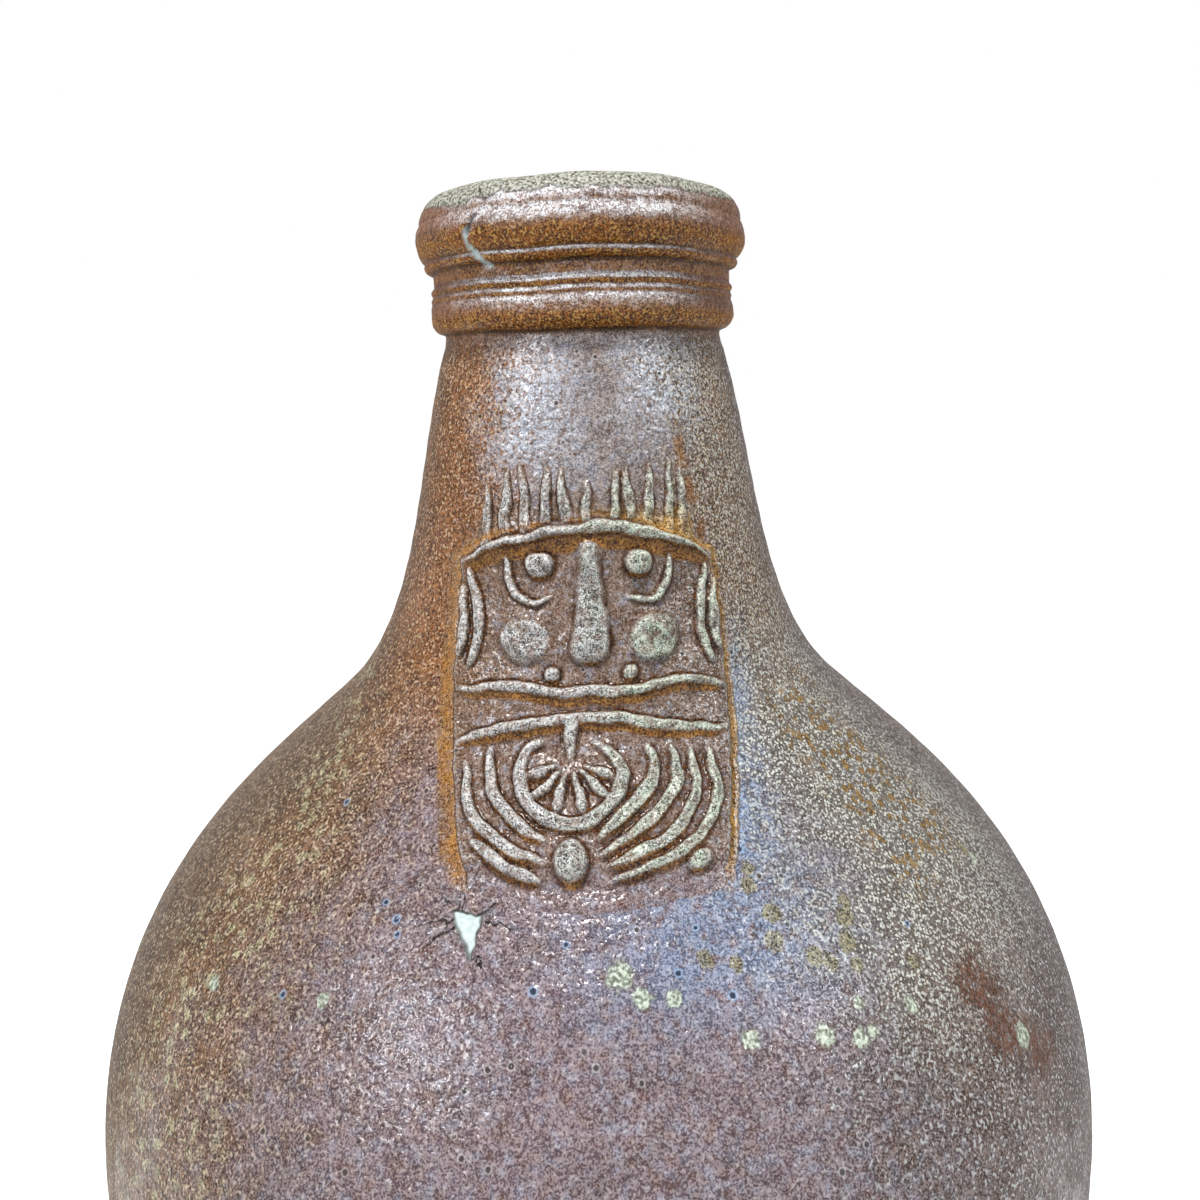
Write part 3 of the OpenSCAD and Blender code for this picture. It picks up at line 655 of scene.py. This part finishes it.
ragged_fine = jitter(points, 0.9 * MM, on_collar)
# The creases hold dark glaze, painted darker still as shade
hollow_glaze_and_shade = on_collar * np.clip(np.interp(height, levels, crease) * (1 + 0.6 * ragged_wide), 0, 1)


def mark_distance(turn, height, line, degree):
    """The distance in millimetres to a line of [degrees, height] marks, where a degree has this length."""
    return line_distance(np.degrees(turn) * degree, height / MM, [(t * degree, z) for t, z in line])


chips = (mark_distance(turn, height, line, COLLAR_DEGREE) for line in (SLIVER, SCAR))
sliver, scar = (chip + ragged_fine * 0.25 for chip in chips)
chipped = on_collar * fade(sliver, 0.6, 0.35)
scarred = on_collar * fade(scar, 0.6, 0.3)
worn_edge = 297.4 - 1.1 * np.exp(-(((np.degrees(turn) + 44) / 12) ** 2)) + 0.8 * ragged_wide
worn = on_collar * fade(height / MM, worn_edge - 0.15, worn_edge + 0.15)
rim_line = on_collar * fade(np.abs(height / MM - worn_edge + 0.1), 0.3, 0.1)

stands = unevenness(turn, height) * fade(radius, 5 * MM, 30 * MM)
stands += on_collar * (0.10 * ragged_wide + 0.07 * ragged_fine) * MM
stands -= (0.45 * flaked * (1 + 0.5 * ragged) + 0.16 * cracked + 0.3 * chipped + 0.25 * scarred) * MM
stands -= 0.12 * rim_line * MM
waver = 0.22 * np.sin(2 * turn + 1) + 0.12 * np.sin(5 * turn) + 0.07 * np.sin(11 * turn + 2)
scale = 1 + stands / np.maximum(radius, MM)
points[:, 0] *= scale
points[:, 1] *= scale
points[:, 2] += waver * collar_share * MM
set_points(jug_mesh, points)
set_layer(jug_mesh, "bare", np.maximum(flaked, chipped))
set_layer(jug_mesh, "crack", np.max([cracked, flake_edge * 0.7, scarred * 0.8], axis=0))
set_layer(jug_mesh, "hollow_glaze_and_shade", np.maximum(hollow_glaze_and_shade, rim_line * 0.8))
set_layer(jug_mesh, "worn", worn)
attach(body, "root")
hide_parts("thrown_body")

# The strap handle: a strap of clay pulled by hand, luted to the neck and the shoulder behind the mask.
# Fingers smoothed its ends onto the wall and left shallow grooves along its back.

STRAP_WIDTH = 30 * MM
STRAP_DEPTH = 13 * MM
UPPER_ROOT, LOWER_ROOT = 15 * MM, 98 * MM
UPPER_REACH, LOWER_REACH = 46 * MM, 40 * MM
ROOT_HEIGHT = 5 * MM
ROOT_SUNK = 3 * MM
ROOT_FLARE = 0.3
FLARE_LENGTH = 9 * MM


def strap_line():
    """The middle line of the strap, out of the wall below the collar and back into it on the shoulder."""
    ends = []
    for run in (UPPER_ROOT, LOWER_ROOT):
        foot, out = np.reshape(side_at(run), (2, 2))
        ends.append((foot - ROOT_SUNK * out, foot + ROOT_HEIGHT * out, out))
    (a0, a, a_out), (b0, b, b_out) = ends
    t = np.linspace(0, 1, 60)[:, None]
    bow = [a, a + UPPER_REACH * a_out, b + LOWER_REACH * b_out, b]
    middle = sum(k * (1 - t) ** (3 - i) * t**i * p for i, (k, p) in enumerate(zip((1, 3, 3, 1), bow)))
    lead = np.linspace(0, 1, 9)[:-1, None]
    return np.vstack([a0 + (a - a0) * lead, middle, (b + (b0 - b) * lead[1:]), [b0]])


def strap_tree():
    """Sweeps a flat oval with grooves along a line of points, whose swell widens it."""
    sizes = {
        "Width": "NodeSocketFloat", "Depth": "NodeSocketFloat", "Groove": "NodeSocketFloat",
        "Glaze": "NodeSocketMaterial",
    }
    tree = new_tree("pull_a_strap", sizes)
    given = tree.node("NodeGroupInput", out="Geometry")
    path = tree.node("GeometryNodeMeshToCurve", sockets={"Mesh": given})
    swell = tree.node("GeometryNodeInputNamedAttribute", {"data_type": "FLOAT"}, {"Name": "swell"})
    path = tree.node("GeometryNodeSetCurveRadius", sockets={"Curve": path, "Radius": swell})
    ring = tree.node("GeometryNodeCurvePrimitiveCircle", sockets={"Resolution": 96, "Radius": 1.0})
    place = tree.node("ShaderNodeSeparateXYZ", sockets={0: tree.node("GeometryNodeInputPosition")})
    flat = tree.math("SIGN", place.other("Y")) * tree.math("POWER", abs(place.other("Y")), 0.75)
    grooves = tree.math("COSINE", place * (3 * math.pi)) * given.other("Groove") * abs(place.other("Y"))
    across = place * given.other("Width") * 0.5
    deep = flat * (given.other("Depth") * 0.5 - grooves)
    shaped = tree.node("ShaderNodeCombineXYZ", sockets={0: across, 1: deep})
    ring = tree.node("GeometryNodeSetPosition", sockets={"Geometry": ring, "Position": shaped})
    strap = tree.node(
        "GeometryNodeCurveToMesh", sockets={"Curve": path, "Profile Curve": ring, "Fill Caps": True}
    )
    glazed_end(tree, given, strap)
    return tree


def handle_glaze():
    f = Finish("handle_glaze")
    _, turn = kiln_tones(f)
    f.lay(f.band(f.noise(9, 3), 0.45, 0.7) * 0.5, "6b4620")
    # Darker brown underneath as painted shade, and paler on top as a painted highlight
    facing = f.facing()
    f.lay(f.band(facing, 0.1, -0.8) * 0.6, "5f3d18")
    f.lay(f.band(facing, 0.3, 0.9) * 0.35, "a99a8c")
    rough, bumps, _ = grained(f, turn, BODY_GRAIN)
    return f.seal(rough, bumps, BODY_BUMPS)


strap_path = strap_line()
path_run = run_of(strap_path)
from_end = np.minimum(path_run, path_run[-1] - path_run)
path_mesh = line_mesh("strap_line", [(0, r, z) for r, z in strap_path])
set_layer(path_mesh, "swell", 1 + ROOT_FLARE * np.exp(-((from_end / FLARE_LENGTH) ** 2)))
strap_mesh = grown_mesh(
    "strap_handle",
    path_mesh,
    strap_tree(),
    {"Width": STRAP_WIDTH, "Depth": STRAP_DEPTH, "Groove": 0.5 * MM, "Glaze": handle_glaze()},
)
strap_points = mesh_points(strap_mesh)
strap_all = np.ones(len(strap_points), bool)
strap_points[:, 0] += 0.5 * MM * jitter(strap_points, 25 * MM, strap_all)
strap_points[:, 1] += 0.4 * MM * jitter(strap_points + 0.7, 18 * MM, strap_all)
set_points(strap_mesh, strap_points)
handle = placed("strap_handle_glazed", strap_mesh)
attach(handle, "root")
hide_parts("strap_handle")

# The mask: a slab of clay pressed in a mould and stuck on the front of the neck, with its relief.
# Hair, brow, eyes, nose, moustache and beard stand up from it under the glaze that softens them.

CELL = 0.27 * MM
MARGIN = 5 * MM
SLAB_TOP = 1.2 * MM
SKIRT = 0.04 * MM
SUNK = 0.15 * MM
CAST_START = 8 * MM
MASK_GRAIN = 0.6
MASK_BUMPS = 0.18

# How far the glaze softens each raised piece, and how far it swells it, in millimetres
relief_finish = {
    "hair_fringe": (0.2, 0.42),
    "brow_ridge": (0.2, 0.25),
    "eye_beads": (0.35, 0.2),
    "eye_lids": (0.25, 0.2),
    "nose_bar": (0.6, 0.3),
    "cheek_pads": (0.6, 0.3),
    "moustache": (0.22, 0.45),
    "lower_lip": (0.22, 0.45),
    "side_locks": (0.22, 0.35),
    "beard_locks": (0.22, 0.48),
    "beard_palmette": (0.24, 0.12),
    "chin_bead": (0.4, 0.3),
}


def neck_places(points):
    """Length round from the front line and length down from the collar, of points near the outside."""
    turn, radius = turn_and_radius(points)
    far = np.hypot(radius[:, None] - side[None, :, 0], points[:, 2, None] - side[None, :, 1])
    run = side_run[np.argmin(far, axis=1)]
    return turn * side_at(run)[0], run


def soften(field, reach):
    """A field blurred over a reach, by its frequencies."""
    rows, columns = (np.fft.fftfreq(n, CELL)[:, None] for n in field.shape)
    keep = np.exp(-2 * (math.pi * reach) ** 2 * (rows**2 + columns.T**2))
    return np.fft.ifft2(np.fft.fft2(field) * keep).real


def swell(field, reach):
    """A field whose raised parts are rounder and wider by a reach, which may vary over it."""
    steps = int(np.ceil(np.max(reach) / CELL))
    grown = field.copy()
    for down in range(-steps, steps + 1):
        for along in range(-steps, steps + 1):
            far = math.hypot(down, along) * CELL
            share = 1 - 0.3 * (far / (reach + CELL)) ** 2
            moved = np.roll(field, (down, along), (0, 1)) * share
            grown = np.where(far <= reach, np.maximum(grown, moved), grown)
    return grown


mask_nodes = {name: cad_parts[name].data for name in ["mask_panel", *relief_finish]}
places = {name: neck_places(mesh_points(node)) for name, node in mask_nodes.items()}
u_reach = max(np.abs(u).max() for u, run in places.values()) + MARGIN
top = min(run.min() for u, run in places.values()) - MARGIN
foot = max(run.max() for u, run in places.values()) + MARGIN
u_grid, run_grid = np.meshgrid(np.arange(-u_reach, u_reach, CELL), np.arange(top, foot, CELL))
draw = np.random.default_rng(7)


def unrest(reach):
    """A smooth random field of this reach, about 1 high."""
    field = soften(draw.standard_normal(u_grid.shape), reach)
    return field / field.std()


brow_top = places["brow_ridge"][1].min()
hair_share = fade(run_grid, brow_top + 2 * MM, brow_top - 2 * MM)
sway = (0.16 + 0.16 * hair_share) * MM
u_cast = u_grid + sway * unrest(0.9 * MM)
run_cast = run_grid + sway * unrest(0.9 * MM)


def cast_heights(name):
    """How high a node stands off the neck over the grid, and 0 where it isn't there."""
    node = mask_nodes[name]
    tree = BVHTree.FromPolygons([v.co for v in node.vertices], [list(p.vertices) for p in node.polygons])
    u, run = places[name]
    near = (u_cast > u.min() - MM) & (u_cast < u.max() + MM)
    near &= (run_cast > run.min() - MM) & (run_cast < run.max() + MM)
    turn = u_cast[near] / side_at(run_cast[near])[0]
    wall = unevenness(turn, side_at(run_cast[near])[1])
    true = np.stack([np.sin(turn), -np.cos(turn), np.zeros_like(turn)], axis=1) * wall[:, None]
    lows, highs = (on_body(turn, run_cast[near], lift) - true for lift in (0, CAST_START))
    heights = []
    for low, high in zip(lows, highs):
        far = tree.ray_cast(Vector(high), Vector(low - high), CAST_START + MM)[3]
        heights.append(0 if far is None else CAST_START - far)
    field = np.zeros(u_grid.shape)
    field[near] = heights
    return field


panel = cast_heights("mask_panel")
on_panel = panel > 0.3 * MM
rows = np.flatnonzero(on_panel.any(axis=1))
left_u = np.min(np.where(on_panel, u_grid, 1), axis=1)
right_u = np.max(np.where(on_panel, u_grid, -1), axis=1)
left_u, right_u = (np.interp(np.arange(len(u_grid)), rows, u[rows])[:, None] for u in (left_u, right_u))
panel_top, panel_foot = run_grid[rows[0], 0], run_grid[rows[-1], 0]
left_out = np.maximum(left_u - u_grid, 0)
right_out = np.maximum(u_grid - right_u, 0)
edge_rows = fade(run_grid, panel_top - 2 * MM, panel_top + 3 * MM)
edge_rows *= fade(run_grid, panel_foot, panel_foot - 5 * MM)
foot_share = fade(run_grid, panel_foot - 6.5 * MM, panel_foot - 2.5 * MM)
thinner = 1 - 0.9 * foot_share
ground = soften(panel, 0.35 * MM) * thinner + 0.07 * MM * unrest(2 * MM) * soften(on_panel * 1.0, 0.8 * MM)
ground = np.maximum(ground, 0)
pool_left = 0.95 * MM * np.exp(-left_out / (1.1 * MM)) * edge_rows * (left_out > 0)
pool_right = 0.6 * MM * np.exp(-right_out / (0.5 * MM)) * edge_rows * (right_out > 0)
second_line = 0.38 * MM * np.exp(-(((right_out - 1.3 * MM) / (0.35 * MM)) ** 2)) * edge_rows * (right_out > 0)
ground = np.maximum(ground, np.maximum(pool_left, np.maximum(pool_right, second_line)))
ground *= 1 + 0.12 * unrest(1.2 * MM)

beard_right = fade(u_grid, -4 * MM, 0)
palmette_u = places["beard_palmette"][0].mean()
palmette_run = places["beard_palmette"][1].min() + 4 * MM
from_hub = np.hypot(u_grid - palmette_u, run_grid - palmette_run)
rises = {}
for name, (reach, more) in relief_finish.items():
    rise = cast_heights(name)
    if name != "hair_fringe":
        rise = np.maximum(rise - SLAB_TOP, 0) * (rise > 0)
    more = np.full(u_grid.shape, more * MM)
    if name == "beard_locks":
        more -= 0.24 * MM * beard_right
    if name == "beard_palmette":
        more += 0.45 * MM * fade(from_hub, 2 * MM, 7 * MM)
    rise = soften(swell(rise, more), reach * MM)
    share = rise / rise.max()
    rises[name] = rise.max() * (0.6 * share + 0.35 * fade(share, 0.12, 0.62))

# The locks on the right are split along their middle, and the hair falls onto the brow

locks = rises["beard_locks"]
lock_share = locks / np.percentile(locks[locks > 0.3 * MM], 90)
rises["beard_locks"] = locks * (1 - 0.34 * np.exp(-(((1 - lock_share) / 0.16) ** 2)) * beard_right)

HAIR_STRETCH = 1.65
STANDING = 0.15 * MM


def edge_rows_of(field, edge):
    """The row where a field first or last stands up in each column, as a smooth curve over the columns."""
    standing = field > STANDING
    columns = np.flatnonzero(standing.any(axis=0))
    found = [np.flatnonzero(standing[:, column])[edge] for column in columns]
    return np.polyval(np.polyfit(columns, found, 4), np.arange(field.shape[1]))


short_hair = rises["hair_fringe"]
hair_foot = edge_rows_of(short_hair, -1)
brow_line = edge_rows_of(rises["brow_ridge"], 0)
grid_rows = np.arange(len(u_grid))
hair_rows = hair_foot - (brow_line + 2 - grid_rows[:, None]) / HAIR_STRETCH
hair = np.stack(
    [np.interp(hair_rows[:, k], grid_rows, short_hair[:, k], 0, 0) for k in range(u_grid.shape[1])], axis=1
)
above_brow = (brow_line - grid_rows[:, None]) * CELL
hair_sheet = soften((hair > STANDING) * 1.0, 1.1 * MM)
wedge = 0.4 * MM * fade(above_brow, 7 * MM, 0) * (above_brow > -1 * MM) * fade(hair_sheet, 0.1, 0.4)
hair = np.maximum(hair * (1.15 + 0.2 * unrest(0.6 * MM)), wedge)
names = [name for name in relief_finish if name != "hair_fringe"]
stack = np.stack([rises[name] for name in names])
rise = stack.max(axis=0)

# Glaze runs down off each ridge, so that its underside slopes and holds a dark golden pool, painted darker as
# the shade under the ridge

RUN_SLOPE = 1.2
RUN_CELLS = 12
run_slopes = {"brow_ridge": 0.45, "moustache": 0.6, "lower_lip": 0.7, "chin_bead": 0.8, "beard_locks": 0.8}
ridge = rise.copy()
for name in names:
    slope = run_slopes.get(name, RUN_SLOPE)
    for step in range(1, RUN_CELLS + 1):
        ridge = np.maximum(ridge, np.roll(rises[name], step, axis=0) - slope * step * CELL)
pool_and_shade = fade(ridge - rise, 0.02 * MM, 0.18 * MM)
ridge = soften(0.35 * rise + 0.65 * ridge, 0.12 * MM)
ridge *= 1 + 0.1 * unrest(0.7 * MM)
slab_height = ground + ridge
relief = np.maximum(slab_height, hair)
relief += 0.03 * MM * unrest(0.4 * MM) * fade(relief, 0.05 * MM, 0.5 * MM)
crest = np.max([fade(field / field.max(), 0.3, 0.7) for field in stack], axis=0)
crest = np.maximum(crest, fade(hair / np.percentile(hair[hair > STANDING], 85), 0.3, 0.75))
# Dark glaze in the hollows beside the ridges, deepened as painted shade
hollow_glaze_and_shade = np.clip((soften(relief, 0.36 * MM) - relief - 0.025 * MM) / (0.08 * MM), 0, 1)
# The sharpest edges are painted paler, partly thin glaze and partly a painted highlight
pale_edge_and_highlight = np.clip((relief - soften(relief, 0.24 * MM) - 0.02 * MM) / (0.05 * MM), 0, 1)
gilt = fade(left_out + 0.5 * MM * unrest(1.5 * MM), 4.4 * MM, 0.8 * MM) * edge_rows * (left_out > 0)
upper_right = fade(run_grid, panel_top + 20 * MM, panel_top + 8 * MM)
ochre_reach = (1.2 + 1.4 * upper_right) * MM * (1 + 0.3 * unrest(1.5 * MM))
ochre = np.exp(-right_out / np.maximum(ochre_reach, 0.3 * MM)) * edge_rows * (right_out > 0)
inner_edge = fade(right_u - u_grid, 2.2 * MM, 0.4 * MM) * (u_grid > 0)
ochre = np.maximum(ochre, upper_right * edge_rows * inner_edge * 0.8)
relief_layers = {
    "crest": crest, "pale_edge_and_highlight": pale_edge_and_highlight, "hollow_glaze_and_shade": hollow_glaze_and_shade, "pool_and_shade": pool_and_shade,
    "gilt": gilt, "ochre": ochre, "foot": foot_share,
}


def cell_mean(field):
    return (field[:-1, :-1] + field[1:, :-1] + field[:-1, 1:] + field[1:, 1:]) / 4


def without_corners(cells):
    """Cells without those that touch others only at a corner."""
    cells = cells.copy()
    a, b, c, d = cells[:-1, :-1], cells[:-1, 1:], cells[1:, :-1], cells[1:, 1:]
    while ((a & d & ~b & ~c) | (b & c & ~a & ~d)).any():
        slant, other = a & d & ~b & ~c, b & c & ~a & ~d
        a &= ~slant
        b &= ~other
    return cells


RAISED = 0.13 * MM
covered = cell_mean(relief) > SKIRT
hair_cells = without_corners(covered & (cell_mean(hair) > cell_mean(slab_height)))
slab_cells = without_corners(covered & ~hair_cells)
cell_owner = np.argmax([cell_mean(field) for field in stack], axis=0)
raised_cells = slab_cells & (cell_mean(rise) > RAISED)
piece_cells = {}
for index, name in enumerate(names):
    piece_cells[name] = without_corners(raised_cells & (cell_owner == index))


def corner_count(cells):
    """How many of these cells meet at each point of the grid."""
    count = np.zeros(u_grid.shape, int)
    for rows in (slice(None, -1), slice(1, None)):
        for columns in (slice(None, -1), slice(1, None)):
            count[rows, columns] += cells
    return count


def eased(field, cells):
    """Moves of the grid's points that bring the edge of these cells onto the line where the field is 0."""
    count = corner_count(cells)
    by_run, by_u = np.gradient(field, CELL)
    step = np.where((count > 0) & (count < 4), -field / np.maximum(by_run**2 + by_u**2, 1e-9), 0)
    limit = 0.6 * CELL
    return [np.clip(step * by, -limit, limit) for by in (by_u, by_run)]


outer_ease = eased(relief - SKIRT, covered)
inner_ease = eased(rise - RAISED, raised_cells)
u_place = u_grid + outer_ease[0] + inner_ease[0]
run_place = run_grid + outer_ease[1] + inner_ease[1]
turn_place = u_place / side_at(run_place)[0]
surface = on_body(turn_place, run_place, relief)
normals = -np.cross(np.gradient(surface, axis=1), np.gradient(surface, axis=0))
normals /= np.linalg.norm(normals, axis=-1)[..., None]


def relief_piece(name, cells, heights, undersides, glaze):
    """A closed piece: these cells of the relief on top, the same cells below and a wall round them."""
    rows, columns = np.nonzero(cells)
    width = u_grid.shape[1]
    corner = rows * width + columns
    quads = np.stack([corner, corner + width, corner + width + 1, corner + 1], axis=1)
    used, flat = np.unique(quads, return_inverse=True)
    quads = flat.reshape(quads.shape)
    count = len(used)
    starts, ends = quads.ravel(), np.roll(quads, -1, axis=1).ravel()
    lone = ~np.isin(starts * count + ends, ends * count + starts)
    a, b = starts[lone], ends[lone]
    walls = np.stack([b, a, a + count, b + count], axis=1)
    turn, run = turn_place.ravel()[used], run_place.ravel()[used]
    upper = on_body(turn, run, heights.ravel()[used])
    lower = on_body(turn, run, undersides.ravel()[used])
    faces = np.vstack([quads, quads[:, ::-1] + count, walls])
    mesh = bpy.data.meshes.new(name)
    mesh.from_pydata(np.vstack([upper, lower]).tolist(), [], faces.tolist())
    mesh.shade_smooth()
    out = normals.reshape(-1, 3)[used]
    mesh.normals_split_custom_set_from_vertices(np.vstack([out, -out]).tolist())
    for layer, values in relief_layers.items():
        set_layer(mesh, layer, np.tile(values.ravel()[used], 2))
    mesh.materials.append(glaze)
    return placed(name, mesh)


def mask_glaze(name, ground_tone):
    f = Finish(name)
    _, turn = kiln_tones(f)
    f.lay(0.8 - f.layer("foot") * 0.6, ground_tone)
    rough, bumps, grain = grained(f, turn, MASK_GRAIN)
    right = f.band(turn, -14, 18)
    cool = f.mix(grain, "403c3a", "c8cbcb")
    olive = f.mix(grain, "343c32", "bcc9b8")
    thick = f.band(f.noise(1.4, 4), 0.36, 0.58)
    crest = f.layer("crest") * (thick * 0.66 + 0.18)
    f.lay(crest, f.mix(right, cool, olive))
    # Painted glints, and the sharpest edges painted paler, partly thin glaze and partly a painted highlight
    painted_glints = f.band(f.noise(0.36, 0), 0.46, 0.64)
    pale_edge_and_highlight = f.layer("pale_edge_and_highlight") * (painted_glints * 0.5 + 0.05)
    f.lay(pale_edge_and_highlight, f.mix(right, "efebe8", "e6e8da"))
    # The pools under the ridges and the hollows are dark amber glaze, darkened further as painted shade, with
    # painted glints
    amber = f.mix(painted_glints * 0.5, f.mix(grain, "361906", "845623"), "b98a48")
    f.lay(f.layer("pool_and_shade") * 0.95, amber)
    f.lay(f.layer("hollow_glaze_and_shade") * 0.95, f.mix(painted_glints * 0.35, "1e0b02", "8a541a"))
    f.lay(f.layer("gilt") * (thick * 0.4 + 0.5), f.mix(grain, "5e3408", "b4803a"))
    f.lay(f.layer("ochre") * 0.85, f.mix(grain, "40220a", "d0a256"))
    return f.seal(rough, bumps, MASK_BUMPS)


inside_relief = corner_count(np.any(list(piece_cells.values()), axis=0)) == 4
slab_top = np.where(inside_relief, 0.8 * ground - 0.05 * MM, relief)
slab_foot = np.full(u_grid.shape, -SUNK)
slab_piece = relief_piece("mask_slab", slab_cells, slab_top, slab_foot, mask_glaze("slab_glaze", "6a4a2e"))
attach(slab_piece, "root")
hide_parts("mask_panel")

relief_glaze = mask_glaze("relief_glaze", "6e533a")
for name in relief_finish:
    if name == "hair_fringe":
        piece = relief_piece(name + "_glazed", hair_cells, relief, slab_foot, relief_glaze)
    else:
        piece = relief_piece(name + "_glazed", piece_cells[name], relief, 0.3 * ground, relief_glaze)
    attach(piece, "root")
    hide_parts(name)

# Golden glaze has also run on the body along the slab's left edge, and ochre streaks beside its right edge

NECK_DEGREE = 0.6
OCHRE_RUNS = [(31, 259), (32.5, 252), (35, 246), (35.5, 239), (37, 231), (35.5, 224), (29, 216)]
points = mesh_points(jug_mesh)
turn, radius = turn_and_radius(points)
run = run_at(points[:, 2])
on_side = (points[:, 2] < COLLAR_FOOT) & (points[:, 2] > 185 * MM)
on_side &= radius > side_at(run)[0] - 3 * MM
u = turn * side_at(run)[0]
edge_u = np.interp(run, run_grid[:, 0], left_u[:, 0])
ragged = jitter(points, 3 * MM, on_side)
in_rows = fade(run, panel_top - 4 * MM, panel_top + 2 * MM)
in_rows *= fade(run, panel_foot - 1 * MM, panel_foot - 8 * MM)
beside_left = fade(edge_u - u + ragged * 1.2 * MM, 5.0 * MM, 0) * in_rows * (u < 0)
streak = mark_distance(turn, points[:, 2], OCHRE_RUNS, NECK_DEGREE)
streak = fade(streak + ragged * 1.1, 1.9, 0.7) * fade(ragged, -0.35, 0)
set_layer(jug_mesh, "honey", on_side * np.maximum(beside_left * 0.75, streak * 0.7))

# The studio: a floor of pale paper, soft light all round, a lamp overhead and two windows in front.
# The camera stands close before the mask and looks slightly down on it.

FLOOR_HALF = 4.0
PAPER_GREY, PAPER_GLOW = 0.6, 0.89
ROOM_LIGHT = 0.2
LIT_PLACE = Vector((0, -0.03, 0.24))
floor_mesh = bpy.data.meshes.new("floor")
corners = [(-1, -1), (1, -1), (1, 1), (-1, 1)]
floor_mesh.from_pydata([(x * FLOOR_HALF, y * FLOOR_HALF, 0) for x, y in corners], [], [(0, 1, 2, 3)])
floor = placed("floor", floor_mesh)
paper = bpy.data.materials.new("paper")
paper.use_nodes = True
sheet = Tree(paper.node_tree)
sheet.tree.nodes.clear()


def seen_ray(tree):
    """1 for the rays that show a thing to the eye, straight on, in a gloss or through glass."""
    rays = tree.node("ShaderNodeLightPath", out="Is Camera Ray")
    gloss = tree.math("MAXIMUM", rays, rays.other("Is Glossy Ray"))
    return tree.math("MAXIMUM", gloss, rays.other("Is Transmission Ray"))


shaded = sheet.node("ShaderNodeBsdfDiffuse", sockets={"Color": (PAPER_GREY, PAPER_GREY, PAPER_GREY, 1)})
glow = sheet.node("ShaderNodeEmission", sockets={"Color": (1, 1, 1, 1), "Strength": PAPER_GLOW})
shown = sheet.node("ShaderNodeAddShader", sockets={0: shaded, 1: glow})
plain = sheet.node("ShaderNodeMixShader", sockets={0: seen_ray(sheet), 1: shaded, 2: shown})
sheet.node("ShaderNodeOutputMaterial", sockets={"Surface": plain})
floor_mesh.materials.append(paper)

world = bpy.data.worlds.new("studio")
bpy.context.scene.world = world
world.use_nodes = True
sky = Tree(world.node_tree)
sky.tree.nodes.clear()
soft_light = sky.node("ShaderNodeBackground", sockets={"Color": (1, 1, 1, 1), "Strength": ROOM_LIGHT})
way = sky.node("ShaderNodeSeparateXYZ", sockets={0: sky.node("ShaderNodeTexCoord", out="Generated")}, out="Z")
up_the_wall = {"Value": way, "From Min": 0.7, "From Max": 0.45, "To Min": 0.15}
wall = sky.node("ShaderNodeMapRange", sockets=up_the_wall)
backdrop = sky.node("ShaderNodeBackground", sockets={"Color": (1, 1, 1, 1), "Strength": wall})
shown = sky.node("ShaderNodeMixShader", sockets={0: seen_ray(sky), 1: soft_light, 2: backdrop})
sky.node("ShaderNodeOutputWorld", sockets={"Surface": shown})


def lamp(name, place, size, watts, colour):
    """A soft panel of light that faces the neck."""
    data = bpy.data.lights.new(name, "AREA")
    data.shape = "RECTANGLE"
    data.size, data.size_y = size
    data.energy = watts
    data.color = colour
    made = placed(name, data)
    made.location = place
    made.visible_camera = False
    made.rotation_euler = (LIT_PLACE - Vector(place)).to_track_quat("-Z", "Y").to_euler()


lamp("overhead", (-0.06, -0.28, 1.15), (0.15, 0.115), 9.0, (1.0, 0.98, 0.94))
lamp("window_left", (-0.53, -0.511, 0.685), (0.25, 0.062), 4.4, (0.93, 0.96, 1.0))
lamp("window_right", (0.611, -0.382, 0.71), (0.14, 0.058), 2.5, (0.95, 0.97, 1.0))

FOCAL_PIXELS = 930
FRAME_PIXELS = 1200
SENSOR = 36.0
PIXELS_DOWN = 46.3
eye = Vector((0, -0.1807, 0.2717))
pitch, aside, roll = (math.radians(a) for a in (12.0, 0.72, 1.2))
forward = Vector((math.sin(aside) * math.cos(pitch), math.cos(aside) * math.cos(pitch), -math.sin(pitch)))
level = forward.cross(Vector((0, 0, 1))).normalized()
upright = level.cross(forward)
rolled_up = upright * math.cos(roll) + level * math.sin(roll)
rolled_right = level * math.cos(roll) - upright * math.sin(roll)
camera_data = bpy.data.cameras.new("camera")
camera_data.sensor_width = SENSOR
camera_data.lens = FOCAL_PIXELS / FRAME_PIXELS * SENSOR
camera_data.shift_y = -PIXELS_DOWN / FRAME_PIXELS
camera_data.clip_start = 0.005
camera = placed("camera", camera_data)
turned = Matrix((rolled_right, rolled_up, -forward)).transposed().to_4x4()
camera.matrix_world = Matrix.Translation(eye) @ turned
bpy.context.scene.camera = camera
bpy.context.scene.view_settings.view_transform = "Standard"
